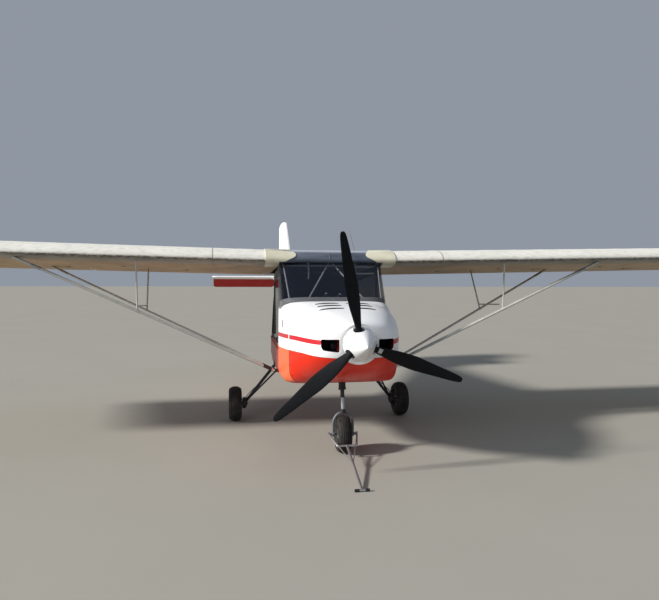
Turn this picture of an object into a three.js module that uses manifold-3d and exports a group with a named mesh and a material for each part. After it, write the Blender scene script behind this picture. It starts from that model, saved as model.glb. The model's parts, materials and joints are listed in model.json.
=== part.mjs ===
// A two-seat high-wing light aircraft with a braced wing, a nose-wheel undercarriage and a
// three-blade propeller, parked on its wheels with a tow bar hooked to the nose axle.
// Millimetres, +Z up, nose towards -Y, port side towards +X. Stations along Y are counted
// from the propeller disc, and the last lines move the origin to the middle of the footprint.
import * as THREE from 'three';
import { mergeVertices } from 'three/addons/utils/BufferGeometryUtils.js';
import Module from 'manifold-3d';

const wasm = await Module();
wasm.setup();

// Driving dimensions: fits
const seatGap = 0.3;
const hingeGap = 8;

// Driving dimensions: wing
const wingSpan = 10500;
const wingChord = 1370;
const wingRootX = 506;
const wingNose = { y: 1262, z: 1700 };
const wingIncidence = THREE.MathUtils.degToRad(6.4);
const wingDihedral = THREE.MathUtils.degToRad(1.235);
const surfaceHingeChord = 1085;
const flapSpan = { from: 70, to: 1900 };
const aileronSpan = { from: 1920, to: 4560 };

// Driving dimensions: fuselage
const cowlWall = 12;
const cabinWall = 22;
const tailWall = 16;
const widestHeight = 1000;
const colourLine = { frontY: 60, frontZ: 914, rearY: 1335, rearZ: 866 };
const firewallY = 672;
const cowlSeam = { lowY: 652, lowZ: 1060, highY: 900, highZ: 1330 };
const frontPost = { x: 503, y: 1338 };
const rearPost = { x: 458, y: 2440 };
const sillHeight = 830;
const cabinRearY = 2440;
const doorStop = 22;
const fuselageEndY = 5500;

// Driving dimensions: propeller
const shaftHeight = 1031;
const propellerRadius = 866;
const bladePhase = -10.05;
const hub = { radius: 58, front: -62, shaft: 34 };
const spinner = { radius: 136, back: 38, tip: -212, wall: 3, hole: 44 };
const backPlate = { radius: spinner.radius - spinner.wall - 4.8, front: 28, rear: 34 };
const engine = { front: 170, rear: 545, half: 190, low: 862, high: 1128 };

// Driving dimensions: undercarriage
const noseWheel = { y: 679, radius: 164, width: 118, rim: 62, axle: 9 };
const mainWheel = { x: 904, y: 1977, radius: 182, width: 134, rim: 78, axle: 12 };
const legRake = THREE.MathUtils.degToRad(11.4);
const legTop = { y: 733, z: 603 };
const towBarTip = { x: -50, y: -292, radius: 11 };

// Driving dimensions: tail
const tailplaneHeight = 1500;
const tailplaneHalfSpan = 1184;
const tailplaneLeadingY = 4895;
const elevatorHinge = { y: 5305, z: 1497 };
const elevatorDroop = THREE.MathUtils.degToRad(26);
const rudderHinge = { y: 5530, chord: 415, low: 1300, high: 2400 };
const rudderSet = THREE.MathUtils.degToRad(9);

// Materials
const paint = {
  white: { color: 0xf2f3f4, roughness: 0.25, metalness: 0 },
  red: { color: 0xd8331c, roughness: 0.3, metalness: 0 },
  deepRed: { color: 0xa01622, roughness: 0.5, metalness: 0 },
  fabric: { color: 0xe4e1d6, roughness: 0.7, metalness: 0 },
  cream: { color: 0xe9e2c6, roughness: 0.4, metalness: 0 },
  glass: { color: 0xa9bcc6, roughness: 0.08, metalness: 0 },
  smoke: { color: 0x55626c, roughness: 0.15, metalness: 0 },
  black: { color: 0x17181d, roughness: 0.35, metalness: 0 },
  rubber: { color: 0x1c1c1e, roughness: 0.85, metalness: 0 },
  alloy: { color: 0xb4b7ba, roughness: 0.35, metalness: 0.9 },
  steel: { color: 0x6d7176, roughness: 0.45, metalness: 0.8 },
  dark: { color: 0x33363b, roughness: 0.6, metalness: 0.2 },
  trim: { color: 0x3a3d42, roughness: 0.8, metalness: 0 },
};

// Solids and meshes
function solid(geometry) {
  const bare = geometry.index ? geometry.toNonIndexed() : geometry.clone();
  bare.deleteAttribute('normal');
  bare.deleteAttribute('uv');
  const merged = mergeVertices(bare, 1e-3);
  return new wasm.Manifold(new wasm.Mesh({
    numProp: 3,
    vertProperties: merged.attributes.position.array,
    triVerts: new Uint32Array(merged.index.array),
  }));
}

function geometryOf(body) {
  const { vertProperties, triVerts } = body.getMesh();
  const geometry = new THREE.BufferGeometry();
  geometry.setAttribute('position', new THREE.BufferAttribute(vertProperties, 3));
  geometry.setIndex(new THREE.BufferAttribute(triVerts, 1));
  geometry.computeVertexNormals();
  return geometry;
}

function mesh(name, body, finish) {
  const piece = new THREE.Mesh(geometryOf(body), new THREE.MeshStandardMaterial(paint[finish]));
  piece.name = name;
  return piece;
}

function joined(bodies) {
  return bodies.reduce((whole, body) => whole.add(body));
}

// A box between two corners.
function block(x0, x1, y0, y1, z0, z1) {
  const geometry = new THREE.BoxGeometry(x1 - x0, y1 - y0, z1 - z0);
  geometry.translate((x0 + x1) / 2, (y0 + y1) / 2, (z0 + z1) / 2);
  return solid(geometry);
}

// An outline pushed along one axis: (y, z) points along x, (x, z) along y, (x, y) along z.
function prism(axis, points, from, to) {
  const shape = new THREE.Shape(points.map(([u, v]) => new THREE.Vector2(u, v)));
  const geometry = new THREE.ExtrudeGeometry(shape, { depth: to - from, bevelEnabled: false });
  const turn = new THREE.Matrix4();
  if (axis === 'x') turn.set(0, 0, 1, from, 1, 0, 0, 0, 0, 1, 0, 0, 0, 0, 0, 1);
  if (axis === 'y') turn.set(1, 0, 0, 0, 0, 0, -1, to, 0, 1, 0, 0, 0, 0, 0, 1);
  if (axis === 'z') turn.makeTranslation(0, 0, from);
  return solid(geometry.applyMatrix4(turn));
}

// A straight bar between two points: round, or an oval whose long way lies along Y.
function rod(start, end, radius, sides = 12, ovalRatio = 1) {
  const from = new THREE.Vector3(...start);
  const along = new THREE.Vector3(...end).sub(from);
  const geometry = new THREE.CylinderGeometry(radius, radius, along.length(), sides);
  geometry.scale(ovalRatio, 1, 1);
  const direction = along.clone().normalize();
  const reference = Math.abs(direction.y) > 0.9 ? new THREE.Vector3(1, 0, 0) : new THREE.Vector3(0, 1, 0);
  const wide = reference.addScaledVector(direction, -reference.dot(direction)).normalize();
  const across = new THREE.Vector3().crossVectors(wide, direction);
  const turn = new THREE.Matrix4().makeBasis(wide, direction, across);
  turn.setPosition(from.addScaledVector(along, 0.5));
  return solid(geometry.applyMatrix4(turn));
}

// A round tube that follows a smooth curve through its points.
function bentTube(points, radius, steps, sides = 8) {
  const ring = new THREE.Shape(Array.from({ length: sides }, (_, i) => {
    const angle = (2 * Math.PI * i) / sides;
    return new THREE.Vector2(Math.cos(angle) * radius, Math.sin(angle) * radius);
  }));
  const path = new THREE.CatmullRomCurve3(points.map((p) => new THREE.Vector3(...p)), false, 'centripetal');
  return solid(new THREE.ExtrudeGeometry(ring, {
    extrudePath: path,
    steps,
    bevelEnabled: false,
  }));
}

// A solid of revolution about Z from (radius, height) pairs that close on the axis or on themselves.
function turned(profile, sides = 40) {
  const points = profile.map(([radius, height]) => new THREE.Vector2(radius, height));
  const geometry = new THREE.LatheGeometry(points, sides);
  geometry.rotateX(Math.PI / 2);
  const body = solid(geometry);
  if (body.volume() >= 0) return body;
  return solid(new THREE.LatheGeometry(points.reverse(), sides).rotateX(Math.PI / 2));
}

// A closed skin over rings of equally many points, flat at both ends.
function loft(rings) {
  const count = rings[0].length;
  const positions = rings.flat(2);
  const faces = [];
  for (let r = 0; r < rings.length - 1; r += 1) {
    for (let i = 0; i < count; i += 1) {
      const a = r * count + i;
      const b = r * count + ((i + 1) % count);
      faces.push(a, b, b + count, a, b + count, a + count);
    }
  }
  const last = (rings.length - 1) * count;
  endFaces(rings[0]).forEach(([a, b, c]) => faces.push(a, c, b));
  endFaces(rings.at(-1)).forEach(([a, b, c]) => faces.push(last + a, last + b, last + c));
  if (signedVolume(positions, faces) < 0) faces.reverse();
  const geometry = new THREE.BufferGeometry();
  geometry.setAttribute('position', new THREE.Float32BufferAttribute(positions, 3));
  geometry.setIndex(faces);
  return solid(geometry);
}

// The triangles that close one ring, all turning the same way as the ring does.
function endFaces(ring) {
  const points = ring.map((p) => new THREE.Vector3(...p));
  const normal = new THREE.Vector3();
  points.forEach((p, i) => normal.add(new THREE.Vector3().crossVectors(p, points[(i + 1) % points.length])));
  normal.normalize();
  const u = new THREE.Vector3().subVectors(points[1], points[0]).normalize();
  u.addScaledVector(normal, -u.dot(normal)).normalize();
  const v = new THREE.Vector3().crossVectors(normal, u);
  const flat = points.map((p) => new THREE.Vector2(p.dot(u), p.dot(v)));
  return THREE.ShapeUtils.triangulateShape(flat, []).map(([a, b, c]) => {
    const turn = (flat[b].x - flat[a].x) * (flat[c].y - flat[a].y)
      - (flat[b].y - flat[a].y) * (flat[c].x - flat[a].x);
    return turn > 0 ? [a, b, c] : [a, c, b];
  });
}

function signedVolume(positions, faces) {
  const corner = (i) => new THREE.Vector3().fromArray(positions, 3 * faces[i]);
  let sum = 0;
  for (let i = 0; i < faces.length; i += 3) {
    sum += corner(i).dot(new THREE.Vector3().crossVectors(corner(i + 1), corner(i + 2)));
  }
  return sum / 6;
}

// Fuselage forms. A section is wide at one height, with a softer or squarer upper and lower half.
const ringPoints = 28;

function bodyRing(station, inset) {
  return Array.from({ length: ringPoints }, (_, i) => {
    const angle = (2 * Math.PI * (i + 0.5)) / ringPoints;
    const [c, s] = [Math.cos(angle), Math.sin(angle)];
    const power = 2 / (s > 0 ? station.upper : station.lower);
    const reach = s > 0 ? station.top - station.waist : station.waist - station.bottom;
    const rise = Math.sign(s) * Math.abs(s) ** power;
    const lean = 1 - (station.lean ?? 0) * Math.max(rise, 0);
    const x = Math.sign(c) * Math.abs(c) ** power * (station.half * lean - inset);
    return [x, station.y, station.waist + rise * (reach - inset)];
  });
}

// Columns: y, half width, top, bottom, squareness of the upper half and of the lower half.
const noseStations = [
  [60, 158, 1184, 876, 2.0, 2.0],
  [78, 224, 1188, 856, 2.2, 2.1],
  [120, 288, 1196, 822, 2.4, 2.2],
  [210, 347, 1218, 768, 2.6, 2.4],
  [350, 399, 1247, 706, 2.8, 3.0],
  [510, 446, 1275, 656, 3.1, 4.2],
  [655, 478, 1295, 622, 3.3, 8.0],
  [800, 492, 1308, 602, 3.5, 12.0],
  [980, 499, 1316, 588, 7.0, 12.0],
  [1335, 503, 1270, 582, 16.0, 12.0],
  [2000, 503, 1270, 585, 16.0, 10.0],
  [cabinRearY, 488, 1270, 605, 16.0, 7.0],
].map(([y, half, top, bottom, upper, lower]) => (
  { y, half, top, bottom, upper, lower, waist: widestHeight }
));

// Columns: y, half width, top, bottom, height of the widest place, squareness above and below,
// and the share by which the top is narrower.
const tailStations = [
  [cabinRearY + seatGap, 488, 1542, 606, 860, 9.0, 7.0, 0.09],
  [2900, 396, 1526, 706, 960, 6.0, 5.0, 0.07],
  [3600, 286, 1508, 872, 1120, 4.4, 4.0, 0.04],
  [4500, 170, 1489, 1085, 1280, 3.4, 3.2, 0],
  [fuselageEndY, 60, 1472, 1290, 1384, 2.6, 2.6, 0],
].map(([y, half, top, bottom, waist, upper, lower, lean]) => (
  { y, half, top, bottom, waist, upper, lower, lean }
));

function form(stations, inset = 0) {
  return loft(stations.map((station) => bodyRing(station, inset)));
}

// The inside of a form: its stations shrunk by the wall, with the end stations moved along Y.
function hollow(stations, wall, frontShift, rearShift) {
  const rings = stations.map((station, i) => {
    const shift = i === 0 ? frontShift : i === stations.length - 1 ? rearShift : 0;
    return bodyRing({ ...station, y: station.y + shift }, wall);
  });
  return loft(rings);
}

const noseForm = form(noseStations);
const noseShell = (wall) => noseForm.subtract(hollow(noseStations, wall, wall, -wall));

// The space ahead of the seam between cowl and cabin, which leans back towards the windscreen.
function aheadOfSeam(shift) {
  const far = 1500;
  return prism('x', [
    [-300, 300],
    [cowlSeam.lowY + shift, 300],
    [cowlSeam.lowY + shift, cowlSeam.lowZ],
    [cowlSeam.highY + shift, cowlSeam.highZ],
    [cowlSeam.highY + shift, far],
    [-300, far],
  ], -800, 800);
}

// The space above the line where the white upper colour meets the red lower one.
function aboveColourLine(shift) {
  const slope = (colourLine.rearZ - colourLine.frontZ) / (colourLine.rearY - colourLine.frontY);
  const height = (y) => colourLine.frontZ + slope * (y - colourLine.frontY) + shift;
  return prism('x', [[-300, height(-300)], [3000, height(3000)], [3000, 2500], [-300, 2500]], -800, 800);
}

// Cooling inlets beside the spinner: a slot each side with its outer lower corner cut away.
function inlet(side) {
  const outline = [[155, 1063], [285, 1061], [291, 1046], [290, 1000], [276, 975], [161, 962], [153, 972]];
  return prism('y', outline.map(([x, z]) => [side * x, z]), -20, 330);
}

// Three slots across the cowl top on each side, one behind the other.
function louvres(side) {
  const slots = [[15, 215, 500], [15, 215, 590], [15, 215, 680]];
  return joined(slots.map(([x0, x1, y]) => block(
    Math.min(side * x0, side * x1), Math.max(side * x0, side * x1), y, y + 26, 1200, 1400,
  )));
}

function cowls() {
  const shell = noseShell(cowlWall).intersect(aheadOfSeam(0));
  const shaftHole = rod([0, 0, shaftHeight], [0, 120, shaftHeight], 92, 20);
  const openings = joined([shaftHole, inlet(1), inlet(-1)]);
  const upper = shell.intersect(aboveColourLine(seatGap))
    .subtract(openings)
    .subtract(joined([louvres(1), louvres(-1)]));
  const coolingOutlet = block(-150, 150, 560, 700, 500, 700);
  const lower = shell.subtract(aboveColourLine(0)).subtract(openings).subtract(coolingOutlet);
  return [mesh('upper_cowl', upper, 'white'), mesh('lower_cowl', lower, 'red')];
}

// Windscreen: level arcs that run from the front posts round the nose of the cabin.
// Columns: height, y of the middle of the arc, squareness of its corners.
const screenLevels = [
  [1100, 800, 4.2],
  [1316, 925, 4.2],
  [1480, 1080, 3.8],
  [1640, 1244, 3.2],
  [1700, 1308, 3.0],
];
const screenPoints = 16;
const screenGlass = 5;

function screenForm(inset) {
  const backY = frontPost.y + 60;
  const half = frontPost.x - 2 - inset;
  return loft(screenLevels.map(([z, middleY, square]) => {
    const depth = frontPost.y - middleY - inset;
    const arc = Array.from({ length: screenPoints + 1 }, (_, i) => {
      const angle = (Math.PI * i) / screenPoints;
      const x = Math.sign(Math.cos(angle)) * Math.abs(Math.cos(angle)) ** (2 / square) * half;
      return [x, frontPost.y - Math.sin(angle) ** (2 / square) * depth, z];
    });
    return [...arc, [-half, backY, z], [half, backY, z]];
  }));
}

function windscreen() {
  const behindPosts = block(-900, 900, frontPost.y - 3, 3000, 0, 3000);
  const pane = screenForm(0).subtract(screenForm(screenGlass))
    .subtract(form(noseStations.slice(4, 11), -seatGap))
    .subtract(behindPosts)
    .subtract(centreForm(0.6))
    .subtract(block(-900, 900, 0, 3000, 1690, 3000));
  return mesh('windscreen', pane, 'glass');
}

// Cabin body: the boot behind the cowl, the floor and the low sides under the doors.
const cabinInside = hollow(noseStations, cabinWall, 0, 60);
const cabinFit = hollow(noseStations, cabinWall + seatGap, 0, 60);

function cabinBody() {
  const boot = noseForm.subtract(cabinInside).subtract(aheadOfSeam(seatGap));
  const doorSpace = block(-900, 900, frontPost.y + doorStop, 3000, sillHeight, 3000);
  const firewall = hollow(noseStations, cabinWall - 2, 0, 60)
    .intersect(block(-900, 900, firewallY, firewallY + 12, 0, 1235));
  const scuttleOpening = screenForm(34).intersect(block(-900, 900, 900, 3000, 1120, 3000));
  return mesh('cabin_body', boot.subtract(doorSpace).subtract(scuttleOpening).add(firewall), 'red');
}

// Wing section as fractions of the chord: over the top from the trailing edge, and back below.
const upperCurve = [[1, 0.003], [0.8, 0.042], [0.6, 0.076], [0.45, 0.094], [0.32, 0.1], [0.2, 0.094],
  [0.11, 0.077], [0.05, 0.054], [0.018, 0.031], [0.004, 0.014]];
const lowerCurve = [[0, 0], [0.004, -0.011], [0.018, -0.02], [0.05, -0.027], [0.11, -0.031],
  [0.25, -0.032], [0.45, -0.025], [0.7, -0.013], [1, -0.002]];
const wingSection = [...upperCurve, ...lowerCurve].map(([y, z]) => [y * wingChord, z * wingChord]);

function curveAt(curve, chordAt) {
  const sorted = [...curve].sort((a, b) => a[0] - b[0]);
  const i = sorted.findIndex(([along]) => along * wingChord >= chordAt);
  const [a, b] = [sorted[i - 1], sorted[i]];
  const share = (chordAt / wingChord - a[0]) / (b[0] - a[0]);
  return (a[1] + share * (b[1] - a[1])) * wingChord;
}

const hingeTop = curveAt(upperCurve, surfaceHingeChord);
const hingeBottom = curveAt(lowerCurve, surfaceHingeChord);
const hingeHeight = (hingeTop + hingeBottom) / 2;
const surfaceNoseRadius = (hingeTop - hingeBottom) / 2;

// The wing section grown by a skin, or shrunk where the skin is negative.
function offsetSection(skin) {
  return wingSection.map(([y, z], i) => {
    const before = wingSection[(i + wingSection.length - 1) % wingSection.length];
    const after = wingSection[(i + 1) % wingSection.length];
    const edge = new THREE.Vector2(after[0] - before[0], after[1] - before[1]).normalize();
    return [y + edge.y * skin, z - edge.x * skin];
  });
}

// The placing of one wing: nose raised by the incidence, tip raised by the dihedral.
function wingPlacing(dihedral) {
  const placing = new THREE.Group();
  placing.position.set(dihedral === 0 ? 0 : wingRootX, wingNose.y, wingNose.z);
  placing.rotation.order = 'YXZ';
  placing.rotation.set(-wingIncidence, -dihedral, 0);
  placing.updateMatrix();
  return placing;
}

function placed(body, matrix) {
  return solid(geometryOf(body).applyMatrix4(matrix));
}

// The centre section's outer form, right across the cabin, grown by a small amount.
function centreForm(grown) {
  const half = wingRootX - seatGap;
  return placed(prism('x', offsetSection(grown), -half, half), wingPlacing(0).matrix);
}

function centreSection() {
  const skin = 7;
  const lip = 30;
  const tailBox = 1130;
  const half = wingRootX - 1;
  const outer = prism('x', wingSection, -half, half);
  const thickPart = offsetSection(-skin).filter(([y]) => y < 0.9 * wingChord);
  const inner = prism('x', thickPart, -half - 1, half + 1);
  const belly = block(-half - 1, half + 1, lip, tailBox, -300, 4);
  const roof = outer.subtract(inner).subtract(belly);
  return mesh('centre_section', placed(roof, wingPlacing(0).matrix), 'smoke');
}

function wingPanel() {
  const tipX = wingSpan / 2 / Math.cos(wingDihedral) - wingRootX;
  // Columns: x, share of the chord, lift.
  const tip = [[0, 1, 0], [tipX - 150, 1, 0], [tipX - 60, 0.965, 3], [tipX - 18, 0.9, 10], [tipX, 0.8, 20]];
  const middle = wingChord * 0.4;
  // The root face is upright, so it leans against the wing's own frame by the dihedral.
  const rise = (y, z) => z * Math.cos(wingIncidence) - y * Math.sin(wingIncidence);
  const rootLean = (y, z) => rise(y, z) * Math.tan(wingDihedral);
  const whole = loft(tip.map(([x, scale, lift]) => wingSection.map(([y, z]) => [
    x === 0 ? rootLean(y, z) : x, middle + (y - middle) * scale, z * scale + lift,
  ])));
  const bayFront = surfaceHingeChord - surfaceNoseRadius - hingeGap;
  const bay = block(flapSpan.from - hingeGap, aileronSpan.to + hingeGap, bayFront, 2000, -500, 500);
  const flapPlaces = flapHinges.map((x) => flapSpan.from + x);
  const places = [...flapPlaces, ...aileronHinges.map((x) => aileronSpan.from + x)];
  const tongues = places.map((x) => hingeTongue(x, bayFront, surfaceHingeChord, hingeHeight));
  return joined([whole.subtract(bay), ...tongues]);
}

// Hinges of a hanging surface: a bracket's tongue reaches to the axis through a slot in the nose.
const tongue = { width: 6, eye: 8, root: 11 };
const flapHinges = [260, 920, 1640];
const aileronHinges = [300, 1320, 2360];

// A tongue across x from a face at faceY back to an axis at (axisY, axisZ).
function hingeTongue(x, faceY, axisY, axisZ) {
  const { width, eye, root } = tongue;
  const outline = [[faceY - 6, axisZ - root], [axisY, axisZ - eye], [axisY + eye, axisZ],
    [axisY, axisZ + eye], [faceY - 6, axisZ + root]];
  return prism('x', outline, x - width / 2, x + width / 2);
}

// The slot that clears such a tongue, in a surface whose axis is at its origin.
function hingeSlot(x, noseRadius) {
  const half = tongue.width / 2 + seatGap;
  return block(x - half, x + half, -2 * noseRadius, tongue.eye + 4, -2 * noseRadius, 2 * noseRadius);
}

// A control surface's section: a round nose on the hinge and a wedge back to a thin edge.
function surfaceSection(length, noseRadius, edgeHeight) {
  const steps = 8;
  const arc = Array.from({ length: steps + 1 }, (_, i) => {
    const angle = Math.PI / 2 + (Math.PI * i) / steps;
    return [Math.cos(angle) * noseRadius, Math.sin(angle) * noseRadius];
  });
  return [...arc, [length, edgeHeight - 3], [length, edgeHeight + 3]];
}

function wingSurface(name, span, hinges) {
  const outline = surfaceSection(wingChord - surfaceHingeChord, surfaceNoseRadius, -hingeHeight);
  const slots = joined(hinges.map((x) => hingeSlot(x, surfaceNoseRadius)));
  const piece = mesh(name, prism('x', outline, 0, span.to - span.from).subtract(slots), 'fabric');
  piece.position.set(span.from, surfaceHingeChord, hingeHeight);
  return piece;
}

// The cream cap over the leading edge at the wing root, pointed towards the middle.
function rootFairing(side) {
  const reach = { in: -190, out: 128 };
  const skin = prism('x', offsetSection(9), reach.in, reach.out)
    .subtract(prism('x', offsetSection(seatGap), reach.in - 10, reach.out + 10));
  const frontShape = [[128, -80], [128, 150], [-40, 150], [-120, 84], [-152, 62], [-160, 50],
    [-148, 36], [-66, -6], [-20, -50], [-6, -80]];
  const cap = skin.intersect(prism('y', frontShape, -60, 210));
  const postSpace = block(-600, wingRootX, 1200, 1600, 1500, 1676);
  return mesh(`root_fairing_${side}`, placed(cap, wingPlacing(wingDihedral).matrix)
    .subtract(centreForm(seatGap)).subtract(postSpace), 'cream');
}

function fuelCap(side) {
  const cap = turned([[0, -6], [30, -6], [30, 12], [20, 20], [0, 20]], 20);
  const piece = cap.subtract(prism('x', offsetSection(seatGap), -5000, 5000).translate([0, -540, -128]));
  return mesh(`fuel_cap_${side}`, piece, 'dark');
}

// Cabin frame: door posts, roof rails under the wing roots, cross tubes and the inverted V
// of tubes behind the windscreen.
const postWidth = 24;
const postDepth = { outer: 2, inner: 26 };
const screenTubes = { apex: [0, 1362, 1692], footX: 290, footY: 986, footZ: 1290, radius: 9 };
const cornerPost = { foot: [428, 1012, 1290], bend: [458, 1262, 1590], head: [470, 1364, 1688], radius: 8 };

function doorPlaneX(y) {
  const share = (y - frontPost.y) / (rearPost.y - frontPost.y);
  return frontPost.x + share * (rearPost.x - frontPost.x);
}

// The thin tube behind the windscreen's bend, from the boot's top edge to the front cross tube.
function cornerTube(side) {
  const { foot, bend, head, radius } = cornerPost;
  const at = ([x, y, z]) => [side * x, y, z];
  return joined([rod(at(foot), at(bend), radius, 12), rod(at(bend), at(head), radius, 12)])
    .intersect(screenForm(screenGlass + seatGap))
    .subtract(form(noseStations.slice(6, 11), -seatGap));
}

function cabinFrameSide(side) {
  const wide = (x) => [side * (x - postDepth.inner), side * (x - postDepth.outer)].sort((a, b) => a - b);
  const [fx0, fx1] = wide(frontPost.x);
  const [rx0, rx1] = wide(rearPost.x);
  const postRear = frontPost.y + doorStop + postWidth;
  const lowFrontPost = block(fx0, fx1, frontPost.y + doorStop + 0.5, postRear, sillHeight + seatGap, 1600);
  const highFrontPost = block(fx0, fx1, frontPost.y, postRear, 1274, 1704);
  const rearPostBar = block(rx0, rx1, rearPost.y - postWidth, rearPost.y, sillHeight + seatGap, 1540);
  const rail = loft([[frontPost.y, 1622, 1690, fx0, fx1], [rearPost.y, 1496, 1580, rx0, rx1]]
    .map(([y, low, high, x0, x1]) => [[x0, y, low], [x1, y, low], [x1, y, high], [x0, y, high]]));
  const { apex, footX, footY, footZ, radius } = screenTubes;
  const tube = rod(apex, [side * footX, footY, footZ], radius, 12);
  const bars = [lowFrontPost, highFrontPost, rearPostBar, tube, cornerTube(side)];
  return joined([...bars, rail.subtract(centreForm(seatGap))]);
}

function cabinFrame(panel) {
  const halfFront = frontPost.x - 14;
  const halfRear = rearPost.x - 14;
  const frontTube = rod([-halfFront, 1364, 1688], [halfFront, 1364, 1688], 13, 12);
  const rearHighTube = rod([-halfRear, 2428, 1516], [halfRear, 2428, 1516], 11, 12);
  const rearLowTube = rod([-halfRear, 2428, 850], [halfRear, 2428, 850], 11, 12);
  const knuckles = doorKnuckles(knuckle.frame, -knuckle.length, 0);
  const spaces = doorKnuckles(knuckle.door + knuckle.clearance, 0, knuckle.length + knuckle.clearance);
  const whole = joined([cabinFrameSide(1), cabinFrameSide(-1), frontTube, rearHighTube, rearLowTube])
    .subtract(joined([spaces, spaces.mirror([1, 0, 0])]))
    .add(joined([knuckles, knuckles.mirror([1, 0, 0])]))
    .subtract(panel.translate([0, 0, 0.4]))
    .subtract(tailShell().translate([0, -0.2, 0]));
  return mesh('cabin_frame', whole, 'alloy');
}

// Instrument panel with its glare shield, fitted between the boot's side walls.
function instrumentPanel() {
  const outline = [[968, 1240], [976, 1284], [1010, 1288], [1130, 1262], [1196, 1222], [1196, 1010],
    [1172, 1010], [1172, 1196], [1110, 1232]];
  return prism('x', outline, -600, 600).intersect(cabinFit).intersect(screenForm(screenGlass + 3));
}

function seat(side) {
  const outline = [[1640, 560], [1640, 745], [1672, 772], [2080, 735], [2150, 765], [2285, 1280],
    [2325, 1300], [2365, 1280], [2240, 720], [2170, 560]];
  const width = { from: 22, to: 430 };
  const headroom = block(-width.to, width.to, 1600, 2400, 900, 1400);
  const cushion = prism('x', outline, width.from, width.to).intersect(cabinFit.add(headroom));
  return mesh(`seat_${side}`, cushion, 'trim');
}

function controlStick() {
  const stick = rod([0, 1560, 560], [0, 1600, 960], 10, 12);
  const grip = rod([0, 1598, 940], [0, 1612, 1060], 17, 12);
  const reach = cabinFit.add(block(-50, 50, 1500, 1700, 900, 1100));
  return mesh('control_stick', stick.add(grip).intersect(reach), 'dark');
}

// Rear fuselage: a covered shell, open towards the cabin.
function tailShell() {
  return form(tailStations).subtract(hollow(tailStations, tailWall, -20, -tailWall));
}

// Doors: a red lower panel in line with the body side, a frame and one large pane.
const doorFront = frontPost.y + doorStop + postWidth + 7;
const doorRear = rearPost.y - postWidth - 7;
const doorTopAt = (y) => 1608 - (y - doorFront) * Math.tan(wingIncidence);
const doorDepth = 24;
const doorRail = 38;
const paneLow = 918;
const doorPivot = [doorPlaneX(doorFront), doorFront, doorTopAt(doorFront)];

function bodySideX(y) {
  const i = noseStations.findIndex((station) => station.y >= y);
  const [a, b] = [noseStations[i - 1], noseStations[i]];
  return a.half + ((y - a.y) / (b.y - a.y)) * (b.half - a.half);
}

function doorSlab(outerIn, innerIn, low) {
  return loft([doorFront, 1600, 1850, 2100, doorRear].map((y) => {
    const plane = doorPlaneX(y);
    const side = Math.max(bodySideX(y), plane);
    return [
      [plane - outerIn, y, doorTopAt(y)],
      [plane - outerIn, y, 908],
      [side - outerIn, y, 858],
      [side - outerIn, y, low],
      [side - innerIn, y, low],
      [side - innerIn, y, 850],
      [plane - innerIn, y, 900],
      [plane - innerIn, y, doorTopAt(y)],
    ];
  }));
}

function paneOutline(margin) {
  const [front, rear] = [doorFront + doorRail + margin, doorRear - doorRail - margin];
  const low = paneLow + margin;
  const high = (y) => doorTopAt(y) - doorRail - margin;
  return [[front, low], [rear, low], [rear, high(rear)], [front, high(front)]];
}

// Door hinges: a knuckle of the frame and one of the door on the same axis, end to end.
const doorHinges = [1560, 2240];
const knuckle = { frame: 9, door: 7, length: 38, clearance: 2 };

function doorAxisPoint(y) {
  return [doorPlaneX(y), y, doorTopAt(y)];
}

function doorKnuckles(radius, from, to) {
  return joined(doorHinges.map((y) => rod(doorAxisPoint(y + from), doorAxisPoint(y + to), radius, 12)));
}

function pivoted(piece, [x, y, z]) {
  piece.geometry.translate(-x, -y, -z);
  piece.position.set(x, y, z);
  return piece;
}

function door(side) {
  const slab = doorSlab(0, doorDepth, sillHeight + 8);
  const frame = slab.subtract(prism('x', paneOutline(0), 300, 600))
    .add(doorKnuckles(knuckle.door, seatGap, knuckle.length))
    .subtract(doorKnuckles(knuckle.frame + knuckle.clearance, -knuckle.length - knuckle.clearance, seatGap));
  const glass = doorSlab(9, 14, sillHeight + 8).intersect(prism('x', paneOutline(seatGap), 300, 600));
  return [
    pivoted(mesh(`door_${side}`, frame, 'red'), doorPivot),
    pivoted(mesh(`door_glass_${side}`, glass, 'glass'), doorPivot),
  ];
}

// Lift struts from one foot low on the body to both wing spars, with jury struts half way.
const strutFoot = { x: 545, y: 1352, z: 628 };
const strutHeads = { front: { x: 2870, y: 1352 }, rear: { x: 2820, y: 2225 } };
const strutHeadRise = 1700;
const juryAt = 0.545;

function strutLine(name) {
  const foot = [strutFoot.x, strutFoot.y + (name === 'rear' ? 66 : 0), strutFoot.z];
  return { foot, head: [strutHeads[name].x, strutHeads[name].y, name === 'rear' ? 1650 : strutHeadRise] };
}

function along({ foot, head }, share) {
  return foot.map((value, i) => value + (head[i] - value) * share);
}

function liftStrut(name, side, wing) {
  const { foot, head } = strutLine(name);
  const radius = name === 'front' ? 15 : 12;
  const bar = rod(foot, head, radius, 16, 2.1);
  const lug = rod([foot[0] - 60, foot[1], foot[2] - 12], [foot[0] + 30, foot[1], foot[2] + 4], 11, 12);
  const whole = bar.add(lug)
    .subtract(wing.translate([0, 0, -seatGap]))
    .subtract(wing)
    .subtract(form(noseStations.slice(8), -seatGap));
  return mesh(`${name}_lift_strut_${side}`, whole, 'alloy');
}

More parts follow.
